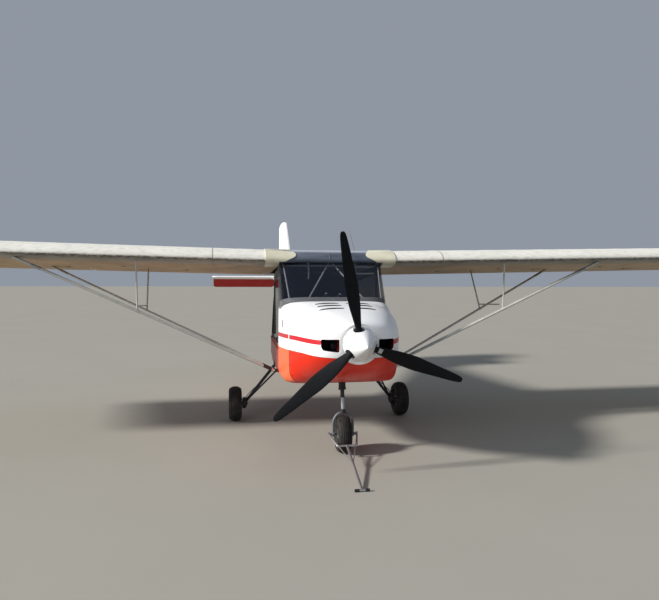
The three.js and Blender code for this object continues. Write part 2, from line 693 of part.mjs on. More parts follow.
function juryStruts(side, wing, struts) {
  const front = along(strutLine('front'), juryAt);
  const rear = along(strutLine('rear'), juryAt);
  const wingZ = 1760;
  const bars = [
    rod([front[0], front[1], front[2]], [front[0] + 10, front[1], wingZ], 8, 10),
    rod([rear[0], rear[1], rear[2]], [rear[0] + 20, 2220, wingZ - 80], 8, 10),
    rod([front[0], front[1], front[2] + 46], [rear[0] + 4, rear[1] + 34, rear[2] + 46], 7, 10),
  ];
  const whole = joined(bars)
    .subtract(wing.translate([0, 0, -seatGap])).subtract(wing)
    .subtract(struts);
  return mesh(`jury_struts_${side}`, whole, 'alloy');
}

// Wheels: the axle lies along X.
const wheelSides = 24;

function wheelParts(wheel, tyreName, rimName) {
  const { radius, width, rim } = wheel;
  const half = width / 2;
  const shoulder = radius - width * 0.32;
  const steps = 6;
  const crown = Array.from({ length: steps + 1 }, (_, i) => {
    const angle = (Math.PI * i) / steps - Math.PI / 2;
    return [shoulder + Math.cos(angle) * (radius - shoulder), Math.sin(angle) * half];
  });
  const bead = half * 0.72;
  const tyre = turned([...crown, [rim + 6, bead], [rim + seatGap, bead - 6], [rim + seatGap, 6 - bead],
    [rim + 6, -bead], [shoulder, -half]], wheelSides);
  const bore = wheel.axle + 0.4;
  const boss = half * 0.62;
  const disc = turned([[bore, -boss], [bore + 18, -boss], [bore + 24, -14], [rim - 14, -14],
    [rim, 6 - bead], [rim, bead - 6], [rim - 14, 14], [bore + 24, 14], [bore + 18, boss], [bore, boss],
    [bore, -boss]], wheelSides);
  const turn = new THREE.Matrix4().makeRotationY(Math.PI / 2);
  return [mesh(tyreName, placed(tyre, turn), 'rubber'), mesh(rimName, placed(disc, turn), 'alloy')];
}

function mainWheelParts(side) {
  return wheelParts(mainWheel, `main_tyre_${side}`, `main_rim_${side}`).map((piece) => {
    piece.position.set(mainWheel.x, mainWheel.y, mainWheel.radius);
    return piece;
  });
}

function mainLeg(side) {
  const inner = mainWheel.x - mainWheel.width / 2 - 24;
  const onAxle = (x) => [x, mainWheel.y, mainWheel.radius];
  const axle = rod(onAxle(inner - 40), onAxle(mainWheel.x + mainWheel.width / 2 - 8), mainWheel.axle, 12);
  const brake = rod(onAxle(inner - 32), onAxle(inner + 16), 54, 16);
  const knee = [inner - 12, mainWheel.y, mainWheel.radius + 12];
  const legs = [rod(knee, [440, 1985, 640], 20, 12), rod(knee, [476, 1490, 640], 11, 12)];
  const whole = joined([axle, brake, ...legs]).subtract(form(noseStations.slice(8), -seatGap));
  return mesh(`main_leg_${side}`, whole, 'steel');
}

// Nose undercarriage: a collar under the floor, the steered leg with its hooped fork, and the wheel.
function legPoint(z) {
  return [0, legTop.y - (legTop.z - z) * Math.tan(legRake), z];
}

function noseLegCollar() {
  const collar = rod(legPoint(545), legPoint(660), 34, 16)
    .subtract(rod(legPoint(500), legPoint(590), 17.5, 16))
    .subtract(form(noseStations.slice(5, 9), -seatGap));
  return mesh('nose_leg_collar', collar, 'steel');
}

function noseFork() {
  const { y, radius } = noseWheel;
  const hoopX = 87;
  const crown = 354;
  const hoop = bentTube([[-hoopX, y, radius], [-hoopX, y + 1, radius + 70], [-hoopX + 6, y + 2, 292],
    [-46, y + 3, 341], [0, y + 3, crown], [46, y + 3, 341], [hoopX - 6, y + 2, 292],
    [hoopX, y + 1, radius + 70], [hoopX, y, radius]], 11, 20);
  const leg = rod(legPoint(350), legPoint(588), 17, 16);
  const sleeve = rod(legPoint(346), legPoint(420), 23, 16);
  const axle = rod([-112, y, radius], [112, y, radius], noseWheel.axle, 12);
  const plates = [1, -1].map((side) => rod([side * 78, y, radius], [side * 98, y, radius], 21, 12));
  return mesh('nose_fork', joined([hoop, leg, sleeve, axle, ...plates]), 'steel');
}

function noseWheelParts() {
  return wheelParts(noseWheel, 'nose_tyre', 'nose_rim').map((piece) => {
    piece.position.set(0, noseWheel.y, noseWheel.radius);
    return piece;
  });
}

// Tow bar: a yoke close round the tyre's front on the axle's ends, one bar forward with a short
// cross handle on the ground, and two thin braces from the axle's ends to the bar.
function towBar() {
  const { x, y, radius } = towBarTip;
  const axle = [noseWheel.y, noseWheel.radius];
  const yoke = { x: 84, y: 496, z: 112, radius: 9 };
  const armX = 126;
  const braceJoin = [x * 0.45, 150, 64];
  const arms = [1, -1].flatMap((side) => [
    rod([side * 112.3, ...axle], [side * (armX + 5), ...axle], 16, 16),
    rod([side * armX, ...axle], [side * yoke.x, yoke.y, yoke.z], 8, 12),
    rod([side * armX, ...axle], braceJoin, 4, 8),
  ]);
  const front = rod([-yoke.x, yoke.y, yoke.z], [yoke.x, yoke.y, yoke.z], yoke.radius, 12);
  const corners = [1, -1].map((side) => (
    new THREE.SphereGeometry(yoke.radius + 1, 12, 8).translate(side * yoke.x, yoke.y, yoke.z)
  ));
  const shaft = rod([0, yoke.y, yoke.z], [x, y + radius, radius], 10, 14);
  const handle = rod([x - 55, y + radius, radius], [x + 55, y + radius, radius], radius, 16);
  const whole = joined([...arms, front, ...corners.map(solid), shaft, handle]);
  return pivoted(mesh('tow_bar', whole, 'alloy'), [0, ...axle]);
}

// Propeller: hub with its shaft and back plate, three blades, and the spinner over them.
function hubForm(grown) {
  const [front, radius, shaftEnd] = [hub.front - grown, hub.radius + grown, engine.front - seatGap];
  const disc = backPlate.radius;
  const profile = [[0, front], [radius, front], [radius, backPlate.front - 2], [disc, backPlate.front],
    [disc, backPlate.rear], [hub.shaft, backPlate.rear], [hub.shaft, shaftEnd], [0, shaftEnd]];
  return placed(turned(profile, 24), new THREE.Matrix4().makeRotationX(-Math.PI / 2));
}

// Columns: radius, chord, thickness, pitch in degrees.
const bladeStations = [[40, 50, 50, 34], [108, 50, 50, 34], [150, 66, 32, 33], [220, 90, 22, 30],
  [310, 114, 17, 26], [440, 123, 13, 22], [540, 108, 11, 19], [640, 90, 10, 17], [740, 75, 8, 15],
  [815, 60, 7, 14], [850, 45, 6, 13], [propellerRadius, 26, 5, 13]];

function bladeForm() {
  const points = 16;
  return loft(bladeStations.map(([radius, chord, thickness, pitch]) => {
    const angle = THREE.MathUtils.degToRad(pitch);
    return Array.from({ length: points }, (_, i) => {
      const turn = (2 * Math.PI * i) / points;
      const [u, v] = [(Math.cos(turn) * chord) / 2, (Math.sin(turn) * thickness) / 2];
      return [u * Math.cos(angle) - v * Math.sin(angle), u * Math.sin(angle) + v * Math.cos(angle), radius];
    });
  }));
}

function spinnerShell() {
  const length = spinner.back - spinner.tip;
  const steps = 8;
  const curve = (radius, reach) => Array.from({ length: steps + 1 }, (_, i) => {
    const share = Math.sin((Math.PI / 2) * (i / steps));
    return [radius * (1 - share) ** 0.8, spinner.back - reach * share];
  });
  const outer = curve(spinner.radius, length);
  const inner = curve(spinner.radius - spinner.wall, length - spinner.wall).reverse();
  outer[steps][0] = 0;
  inner[0][0] = 0;
  return placed(turned([...inner, ...outer], 24), new THREE.Matrix4().makeRotationX(-Math.PI / 2));
}

function propeller() {
  const group = new THREE.Group();
  group.position.set(0, 0, shaftHeight);
  const turns = [0, 120, 240].map((step) => (
    new THREE.Matrix4().makeRotationY(THREE.MathUtils.degToRad(bladePhase + step))
  ));
  const holes = turns.map((turn) => placed(rod([0, 0, 50], [0, 0, 300], spinner.hole, 20), turn));
  const blade = bladeForm();
  const hubSpace = hubForm(seatGap);
  group.add(mesh('propeller_hub', hubForm(0), 'steel'));
  group.add(mesh('spinner', spinnerShell().subtract(joined(holes)), 'white'));
  turns.forEach((turn, i) => {
    group.add(mesh(`propeller_blade_${i + 1}`, placed(blade, turn).subtract(hubSpace), 'black'));
  });
  return group;
}

// Engine: one plain block on four tubes from the firewall.
function engineBlock() {
  const bulk = block(-engine.half, engine.half, engine.front, engine.rear, engine.low, engine.high);
  const [low, high] = [engine.low + 38, engine.high - 38];
  const corners = [[-150, low], [150, low], [-150, high], [150, high]];
  const tubes = corners.map(([x, z]) => (
    rod([x, engine.rear - 15, z], [x, firewallY - seatGap, z], 13, 12)
  ));
  return mesh('engine_block', joined([bulk, ...tubes]), 'dark');
}

// Tail
const tailNoseRadius = { elevator: 14, rudder: 16 };
const elevatorHinges = [330, 1020];
const rudderHinges = [1600, 1940, 2290];

function tailplane() {
  const rear = elevatorHinge.y - tailNoseRadius.elevator - hingeGap;
  const section = (chord, thickness) => [[0, 0], [12, 0.28 * thickness], [55, 0.46 * thickness],
    [chord * 0.45, 0.5 * thickness], [chord, 0.38 * thickness], [chord, -0.38 * thickness],
    [chord * 0.45, -0.5 * thickness], [55, -0.46 * thickness], [12, -0.28 * thickness]];
  const rings = [[-1, 60, 0.7], [-1, 24, 0.9], [-1, 0, 1], [1, 0, 1], [1, 24, 0.9], [1, 60, 0.7]]
    .map(([side, cut, thin], i) => {
      const x = side * (tailplaneHalfSpan - (i === 0 || i === 5 ? 0 : cut === 24 ? 22 : 70));
      const lead = tailplaneLeadingY + (cut === 0 ? 0 : cut);
      return section(rear - lead, 32 * thin).map(([y, z]) => [x, lead + y, tailplaneHeight + z]);
    });
  const tongues = elevatorHinges.flatMap((x) => [x, -x])
    .map((x) => hingeTongue(x, rear, elevatorHinge.y, elevatorHinge.z));
  const whole = joined([loft(rings), ...tongues]).subtract(form(tailStations, -seatGap));
  return mesh('tailplane', whole, 'white');
}

function elevator() {
  const chord = 375;
  const outline = surfaceSection(chord, tailNoseRadius.elevator, 0);
  const slots = joined(elevatorHinges.flatMap((x) => [x, -x])
    .map((x) => hingeSlot(x, tailNoseRadius.elevator)));
  const halves = [1, -1].map((side) => {
    const plan = [[100, -30], [tailplaneHalfSpan, -30], [tailplaneHalfSpan, chord - 50],
      [tailplaneHalfSpan - 50, chord + 5], [215, chord + 5], [100, 60]].map(([x, y]) => [side * x, y]);
    return prism('x', outline, -tailplaneHalfSpan, tailplaneHalfSpan).intersect(prism('z', plan, -60, 60));
  });
  const tube = rod([-140, 0, 0], [140, 0, 0], 10, 16);
  const piece = mesh('elevator', joined([...halves, tube]).subtract(slots), 'deepRed');
  piece.position.set(0, elevatorHinge.y, elevatorHinge.z);
  piece.rotation.x = -elevatorDroop;
  return piece;
}

// The fin's outline in (y, z), and its section rounded at the front.
function finAndRudder() {
  const hingeY = rudderHinge.y;
  const finRear = hingeY - tailNoseRadius.rudder - hingeGap;
  const outline = [[4520, 1460], [finRear, 1460], [finRear, 2398], [5470, 2380], [4983, 1930]];
  const thickness = [[4300, 0], [4540, 12], [5100, 17], [finRear + 1, 15]];
  const flank = (turn, list) => list.map(([y, x]) => [turn * (x + 1), y]);
  const section = [...flank(1, thickness), ...flank(-1, thickness.toReversed())];
  const body = prism('x', outline, -40, 40).intersect(prism('z', section, 1400, 2500));
  const seats = block(-60, 60, tailplaneLeadingY - 8, elevatorHinge.y - 10, 1400, tailplaneHeight + 16.6)
    .add(block(-60, 60, elevatorHinge.y - 60, 5600, 1400, tailplaneHeight + 20));
  const upright = new THREE.Matrix4().makeRotationY(-Math.PI / 2);
  const tongues = rudderHinges.map((z) => placed(hingeTongue(z, finRear, hingeY, 0), upright));
  const standing = body.subtract(seats).subtract(form(tailStations, -seatGap));
  const fin = mesh('fin', joined([standing, ...tongues]), 'white');
  const { chord, low, high } = rudderHinge;
  const plan = [[-20, low], [chord - 150, low - 6], [chord - 4, low + 90], [chord - 4, high - 72],
    [chord - 90, high - 22], [170, high + 6], [-20, high]];
  const wedge = surfaceSection(chord, tailNoseRadius.rudder, 0).map(([y, x]) => [x, y]).reverse();
  const slots = placed(joined(rudderHinges.map((z) => hingeSlot(z, tailNoseRadius.rudder))), upright);
  const rudder = mesh('rudder', prism('z', wedge, low - 40, high + 40)
    .intersect(prism('x', plan, -40, 40)).subtract(slots), 'white');
  rudder.position.set(0, hingeY, 0);
  rudder.rotation.z = rudderSet;
  return [fin, rudder];
}

function whipAntenna() {
  const foot = [390, 2000];
  const whip = rod([foot[0], foot[1], 1700], [foot[0] - 60, foot[1] + 20, 2030], 3, 8)
    .add(rod([foot[0], foot[1], 1700], [foot[0], foot[1], 1790], 14, 16))
    .subtract(centreForm(seatGap));
  return mesh('whip_antenna', whip, 'dark');
}

// One side's pieces, made for port and mirrored for starboard.
function sideGroup(side) {
  const group = new THREE.Group();
  const wingFrame = wingPlacing(wingDihedral);
  const panel = wingPanel();
  const wing = placed(panel, wingFrame.matrix);
  const cap = fuelCap(side);
  cap.position.set(420, 540, 128);
  wingFrame.add(mesh(`wing_${side}`, panel, 'fabric'));
  wingFrame.add(wingSurface(`flap_${side}`, flapSpan, flapHinges));
  wingFrame.add(wingSurface(`aileron_${side}`, aileronSpan, aileronHinges), cap);
  const struts = joined(['front', 'rear'].map((name) => {
    const { foot, head } = strutLine(name);
    return rod(foot, head, (name === 'front' ? 15 : 12) + seatGap, 16, 2.1);
  }));
  group.add(wingFrame, rootFairing(side), ...door(side));
  group.add(liftStrut('front', side, wing), liftStrut('rear', side, wing), juryStruts(side, wing, struts));
  group.add(mainLeg(side), ...mainWheelParts(side), seat(side));
  return group;
}

const airframe = new THREE.Group();
const port = sideGroup('port');
const starboard = sideGroup('starboard');
starboard.scale.x = -1;
const panel = instrumentPanel();
airframe.add(port, starboard, ...cowls(), cabinBody(), windscreen(), centreSection(), cabinFrame(panel));
airframe.add(mesh('instrument_panel', panel, 'dark'), controlStick());
airframe.add(mesh('rear_fuselage', tailShell(), 'white'));
airframe.add(tailplane(), elevator(), ...finAndRudder(), whipAntenna());
airframe.add(engineBlock(), propeller(), noseLegCollar(), noseFork(), ...noseWheelParts(), towBar());

airframe.updateMatrixWorld(true);
const footprint = new THREE.Box3().setFromObject(airframe, true);
airframe.position.y = -(footprint.min.y + footprint.max.y) / 2;

export default airframe;
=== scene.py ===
import json
import math

import bpy
import numpy as np
from mathutils import Matrix, Vector

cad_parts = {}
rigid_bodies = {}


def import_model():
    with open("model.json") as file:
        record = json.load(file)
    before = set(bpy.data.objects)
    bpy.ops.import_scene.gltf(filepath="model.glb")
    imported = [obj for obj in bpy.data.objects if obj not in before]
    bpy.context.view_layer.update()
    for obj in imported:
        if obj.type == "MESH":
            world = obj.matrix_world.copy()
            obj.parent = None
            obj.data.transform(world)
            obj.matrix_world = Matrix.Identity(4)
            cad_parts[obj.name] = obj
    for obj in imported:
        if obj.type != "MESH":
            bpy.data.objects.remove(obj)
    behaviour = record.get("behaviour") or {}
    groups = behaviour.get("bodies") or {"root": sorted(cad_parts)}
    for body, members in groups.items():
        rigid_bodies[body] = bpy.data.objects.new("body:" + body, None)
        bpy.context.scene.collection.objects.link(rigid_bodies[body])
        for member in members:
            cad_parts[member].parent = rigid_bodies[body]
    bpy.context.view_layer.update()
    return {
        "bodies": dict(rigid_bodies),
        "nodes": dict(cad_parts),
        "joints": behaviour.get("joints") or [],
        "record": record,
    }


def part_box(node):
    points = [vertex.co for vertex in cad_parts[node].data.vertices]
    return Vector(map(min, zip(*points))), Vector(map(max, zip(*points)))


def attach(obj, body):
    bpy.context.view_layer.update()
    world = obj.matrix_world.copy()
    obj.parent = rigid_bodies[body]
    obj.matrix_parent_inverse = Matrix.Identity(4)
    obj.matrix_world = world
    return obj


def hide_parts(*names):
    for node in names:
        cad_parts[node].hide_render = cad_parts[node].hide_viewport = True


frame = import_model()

hub_front = -0.062
disc_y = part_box("propeller_hub")[0].y - hub_front

named_sides = ((1, "port"), (-1, "starboard"))

# Driving dimensions: fits
seat_gap = 0.0003
roof_gap = 0.0006
panel_gap = 0.004

# Driving dimensions: wing
wing_chord = 1.370
wing_half_span = 5.250
wing_root_x = 0.506
wing_nose = (1.262, 1.700)
wing_incidence = math.radians(6.4)
wing_dihedral = math.radians(1.235)
surface_hinge = 1.085
hinge_gap = 0.008
flap_span = (0.070, 1.900)
aileron_span = (1.920, 4.560)
rib_pitch = 0.300

# Driving dimensions: fuselage
cowl_wall = 0.012
cabin_wall = 0.022
widest_height = 1.000
front_post = (0.503, 1.338)
rear_post = (0.458, 2.440)
sill_height = 0.830
firewall_y = 0.672
door_stop = 0.022
door_gap = 0.007
post_width = 0.024
shaft_height = 1.031

# Driving dimensions: tail
elevator_hinge = (5.305, 1.497)
elevator_radius, rudder_radius = 0.014, 0.016
elevator_hinges = [0.330, 1.020]
rudder_hinges = [1.600, 1.940, 2.290]
elevator_rest, rudder_rest = -26, 9  # degrees, as the photograph shows them
tail_half_span = 1.184
tail_lead, tail_height = 4.895, 1.500

# Columns: y, half width, top, bottom, squareness above and below the widest height.
nose_rows = [
    (0.060, 0.158, 1.184, 0.876, 2.0, 2.0),
    (0.078, 0.224, 1.188, 0.856, 2.2, 2.1),
    (0.120, 0.288, 1.196, 0.822, 2.4, 2.2),
    (0.210, 0.347, 1.218, 0.768, 2.6, 2.4),
    (0.350, 0.399, 1.247, 0.706, 2.8, 3.0),
    (0.510, 0.446, 1.275, 0.656, 3.1, 3.6),
    (0.655, 0.478, 1.295, 0.622, 3.3, 7.5),
    (0.800, 0.492, 1.308, 0.602, 3.5, 16.0),
    (0.980, 0.499, 1.316, 0.588, 7.0, 22.0),
    (1.335, 0.503, 1.270, 0.582, 16.0, 26.0),
    (2.000, 0.503, 1.270, 0.585, 16.0, 24.0),
    (2.440, 0.488, 1.270, 0.605, 16.0, 14.0),
]
nose_rows = [(y, half, top, low, widest_height, up, down, 0) for y, half, top, low, up, down in nose_rows]

# Columns: y, half width, top, bottom, widest height, squareness above and below, inward lean.
tail_rows = [
    (2.4403, 0.488, 1.542, 0.606, 0.860, 9.0, 12.0, 0.09),
    (2.900, 0.396, 1.526, 0.706, 0.960, 6.0, 7.0, 0.07),
    (3.600, 0.286, 1.508, 0.872, 1.120, 4.4, 4.0, 0.04),
    (4.500, 0.170, 1.489, 1.085, 1.280, 3.4, 3.2, 0),
    (5.500, 0.060, 1.472, 1.290, 1.384, 2.6, 2.6, 0),
]


def linked(thing):
    bpy.context.scene.collection.objects.link(thing)
    return thing


# Camera: the photograph's own viewpoint, worked out from the wheels, blades, wing and tail
def aim_camera(place, yaw, pitch, roll, lens):
    yaw, pitch, roll = (math.radians(angle) for angle in (yaw, pitch, roll))
    forward = Vector((math.sin(yaw) * math.cos(pitch), math.cos(yaw) * math.cos(pitch), math.sin(pitch)))
    level = Vector((math.cos(yaw), -math.sin(yaw), 0))
    above = level.cross(forward)
    right = level * math.cos(roll) + above * math.sin(roll)
    up = above * math.cos(roll) - level * math.sin(roll)
    camera = linked(bpy.data.objects.new("camera", bpy.data.cameras.new("camera")))
    turn = Matrix((right, up, -forward)).transposed().to_4x4()
    camera.matrix_world = Matrix.Translation((place[0], place[1] + disc_y, place[2])) @ turn
    camera.data.sensor_width = 36
    camera.data.lens = lens
    camera.data.clip_end = 200
    bpy.context.scene.camera = camera


aim_camera(place=(-1.044, -4.448, 1.575), yaw=10.154, pitch=-2.599, roll=0.311, lens=32.957)


# Meshes
def new_object(points, faces):
    mesh = bpy.data.meshes.new("piece")
    mesh.from_pydata(np.asarray(points, float).tolist(), [], faces)
    mesh.update()
    return linked(bpy.data.objects.new("piece", mesh))


def copied(piece):
    return linked(bpy.data.objects.new("copy", piece.data.copy()))


def signed_volume(points, faces):
    total = 0.0
    for face in faces:
        a = points[face[0]]
        for b, c in zip(face[1:-1], face[2:]):
            total += float(np.dot(a, np.cross(points[b], points[c])))
    return total


def closed(points, faces):
    """A closed mesh with its faces turned outwards."""
    if signed_volume(points - points.mean(0), faces) < 0:
        faces = [face[::-1] for face in faces]
    return new_object(points, faces)


def grid_shell(nx, ny, point):
    """Points and faces of a closed sheet of two layers; point(layer, i, j) places each point."""
    points = [point(layer, i, j) for layer in (0, 1) for i in range(nx + 1) for j in range(ny + 1)]
    at = lambda layer, i, j: (layer * (nx + 1) + i) * (ny + 1) + j
    faces = []
    for i in range(nx):
        for j in range(ny):
            faces.append((at(0, i, j), at(0, i + 1, j), at(0, i + 1, j + 1), at(0, i, j + 1)))
            faces.append((at(1, i, j), at(1, i, j + 1), at(1, i + 1, j + 1), at(1, i + 1, j)))
    rim = [(i, 0) for i in range(nx)] + [(nx, j) for j in range(ny)]
    rim += [(i, ny) for i in range(nx, 0, -1)] + [(0, j) for j in range(ny, 0, -1)]
    faces += [(at(0, *a), at(1, *a), at(1, *b), at(0, *b)) for a, b in zip(rim, rim[1:] + rim[:1])]
    return np.array(points), faces


def loft(rings):
    """A closed skin over rings of equally many points, with flat ends."""
    points = np.concatenate([np.asarray(ring, float) for ring in rings])
    count = len(rings[0])
    faces = []
    for r in range(len(rings) - 1):
        for i in range(count):
            a, b = r * count + i, r * count + (i + 1) % count
            faces.append((a, b, b + count, a + count))
    faces.append(tuple(range(count))[::-1])
    faces.append(tuple(range(len(points) - count, len(points))))
    return closed(points, faces)


# Where a form made with its length along w lies for each choice of its axis
along = {"x": lambda u, v, w: (w, u, v), "y": lambda u, v, w: (u, w, v), "z": lambda u, v, w: (u, v, w)}


def prism(axis, outline, low, high):
    """An outline pushed along one axis: (y, z) points along x, (x, z) along y, (x, y) along z."""
    return loft([[along[axis](u, v, w) for u, v in outline] for w in (low, high)])


def block(x0, x1, y0, y1, z0, z1):
    return prism("x", [(y0, z0), (y1, z0), (y1, z1), (y0, z1)], x0, x1)


def turned(profile, sides=64, axis="z", place=(0, 0, 0)):
    """A solid of revolution from (radius, height) pairs; a profile off the axis closes on itself."""
    is_ring = profile[0][0] > 1e-6 or profile[-1][0] > 1e-6
    points, faces, rings = [], [], []
    for radius, height in profile:
        if radius < 1e-6:
            rings.append([len(points)] * sides)
            points.append((0, 0, height))
            continue
        rings.append(list(range(len(points), len(points) + sides)))
        angles = 2 * math.pi * np.arange(sides) / sides
        points += [(radius * math.sin(angle), -radius * math.cos(angle), height) for angle in angles]
    pairs = list(zip(rings[:-1], rings[1:])) + ([(rings[-1], rings[0])] if is_ring else [])
    for one, two in pairs:
        for i in range(sides):
            j = (i + 1) % sides
            face = list(dict.fromkeys((one[i], one[j], two[j], two[i])))
            if len(face) > 2:
                faces.append(tuple(face))
    points = np.array([along[axis](*p) for p in points]) + np.array(place)
    return closed(points, faces)


def tube(path, radius, sides=16):
    """A round bar along a path, with one radius or one for each point."""
    path = np.asarray(path, float)
    steps = np.gradient(path, axis=0)
    steps /= np.linalg.norm(steps, axis=1)[:, None]
    radii = np.broadcast_to(radius, len(path))
    reference = np.array((1.0, 0, 0)) if abs(steps[0][1]) > 0.9 else np.array((0, 1.0, 0))
    rings = []
    for point, step, size in zip(path, steps, radii):
        side = reference - step * np.dot(reference, step)
        side /= np.linalg.norm(side)
        reference = side
        other = np.cross(side, step)
        angles = 2 * math.pi * np.arange(sides) / sides
        rings.append(point + size * (np.outer(np.cos(angles), side) + np.outer(np.sin(angles), other)))
    return loft(rings)


def curve(points, per_gap=8):
    """A smooth line through points, by centripetal Catmull-Rom spans."""
    points = [np.asarray(p, float) for p in points]
    ends = [2 * points[0] - points[1], *points, 2 * points[-1] - points[-2]]
    line = []
    for p0, p1, p2, p3 in zip(ends, ends[1:], ends[2:], ends[3:]):
        t0 = 0.0
        t1, t2, t3 = np.cumsum([np.linalg.norm(b - a) ** 0.5 for a, b in ((p0, p1), (p1, p2), (p2, p3))])
        for t in np.linspace(t1, t2, per_gap, endpoint=False):
            a1 = (t1 - t) / (t1 - t0) * p0 + (t - t0) / (t1 - t0) * p1
            a2 = (t2 - t) / (t2 - t1) * p1 + (t - t1) / (t2 - t1) * p2
            a3 = (t3 - t) / (t3 - t2) * p2 + (t - t2) / (t3 - t2) * p3
            b1 = (t2 - t) / (t2 - t0) * a1 + (t - t0) / (t2 - t0) * a2
            b2 = (t3 - t) / (t3 - t1) * a2 + (t - t1) / (t3 - t1) * a3
            line.append((t2 - t) / (t2 - t1) * b1 + (t - t1) / (t2 - t1) * b2)
    return [*line, points[-1]]


def graded(xs, ys, at):
    """Smooth values through (xs, ys) that never overshoot: a monotone cubic."""
    xs, ys = np.asarray(xs, float), np.asarray(ys, float)
    gaps = np.diff(xs)
    slopes = np.diff(ys) / gaps
    tangents = np.zeros(len(xs))
    before, after = slopes[:-1], slopes[1:]
    level = before * after <= 0
    tangents[1:-1] = np.where(level, 0, 2 * before * after / np.where(level, 1, before + after))
    tangents[0], tangents[-1] = slopes[0], slopes[-1]
    i = np.clip(np.searchsorted(xs, at) - 1, 0, len(gaps) - 1)
    t = (at - xs[i]) / gaps[i]
    ends = ys[i] * (1 + 2 * t) * (1 - t) ** 2 + ys[i + 1] * t * t * (3 - 2 * t)
    return ends + gaps[i] * (tangents[i] * t * (1 - t) ** 2 + tangents[i + 1] * t * t * (t - 1))


def graded_at(rows, at, *columns):
    """Smooth values of some columns at one place along the first column."""
    table = np.array(rows, float).T
    return [graded(table[0], table[k], np.array([at]))[0] for k in columns]


def bake_modifiers(piece):
    graph = bpy.context.evaluated_depsgraph_get()
    made = bpy.data.meshes.new_from_object(piece.evaluated_get(graph))
    piece.modifiers.clear()
    piece.data = made
    return piece


def combine(piece, others, operation):
    for other in others:
        step = piece.modifiers.new("step", "BOOLEAN")
        step.object, step.operation, step.solver = other, operation, "MANIFOLD"
        bake_modifiers(piece)
        bpy.data.objects.remove(other)
        if not piece.data.polygons:
            raise RuntimeError(f"{piece.name} vanished in {operation}")
    return piece


def cut(piece, *others):
    return combine(piece, others, "DIFFERENCE")


def keep(piece, *others):
    return combine(piece, others, "INTERSECT")


def fuse(piece, *others):
    return combine(piece, others, "UNION")


def placed(piece, matrix):
    piece.data.transform(matrix)
    return piece


def rounded(piece, width, segments=2, angle=30):
    edge = piece.modifiers.new("edge", "BEVEL")
    edge.width, edge.segments, edge.angle_limit = width, segments, math.radians(angle)
    edge.limit_method = "ANGLE"
    edge.use_clamp_overlap = True
    return bake_modifiers(piece)


def moved(place, degrees=0.0, axis="X"):
    """A turn about the origin, then a move to a place."""
    return Matrix.Translation(place) @ Matrix.Rotation(math.radians(degrees), 4, axis)


def mirrored(piece):
    twin = copied(piece)
    twin.data.transform(Matrix.Diagonal((-1, 1, 1, 1)))
    twin.data.flip_normals()
    return twin


def dress(piece, name, material, nodes=(), body="airframe", slot=None, sharp=35):
    """Names a finished mesh, moves it into the frame, gives it its finish and puts it on its body."""
    piece.name = name
    placed(piece, moved((0, disc_y, 0)))
    piece.data.materials.clear()
    piece.data.materials.append(material)
    piece.data.shade_smooth()
    piece.data.set_sharp_from_angle(angle=math.radians(sharp))
    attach(piece, body)
    slot = slot or usual_slot[material.name]
    if nodes:
        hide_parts(*nodes)
    return piece


def both_sides(piece, name, material, node=None, body="airframe", slot=None, sharp=35):
    """Dresses a port piece and its mirrored twin; body and node may hold {side}."""
    pair = {"port": piece, "starboard": mirrored(piece)}
    for side, one in pair.items():
        nodes = (node.format(side=side),) if node else ()
        dress(one, f"{name}_{side}", material, nodes, body.format(side=side), slot, sharp)
    return pair.values()


# Materials
def rgb(code):
    parts = [int(code[i:i + 2], 16) / 255 for i in (1, 3, 5)]
    return tuple(((c + 0.055) / 1.055) ** 2.4 if c > 0.04045 else c / 12.92 for c in parts) + (1.0,)


def frame_y(station):
    return station + disc_y


class Value:
    """A node's output that takes part in formulas like a number."""

    def __init__(self, skin, output):
        self.skin, self.output = skin, output

    def __add__(self, other):
        return self.skin.math("ADD", self, other)

    def __sub__(self, other):
        return self.skin.math("SUBTRACT", self, other)

    def __rsub__(self, other):
        return self.skin.math("SUBTRACT", other, self)

    def __mul__(self, other):
        return self.skin.math("MULTIPLY", self, other)

    def __pow__(self, other):
        return self.skin.math("POWER", self, other)

    def __lt__(self, other):
        return self.skin.math("LESS_THAN", self, other)

    def __gt__(self, other):
        return self.skin.math("GREATER_THAN", self, other)

    def __abs__(self):
        return self.skin.math("ABSOLUTE", self)

    def ramp(self, low, high, to_low=0.0, to_high=1.0):
        limits = {"From Min": low, "From Max": high, "To Min": to_low, "To Max": to_high}
        return self.skin.add("MapRange", {"Value": self, **limits})


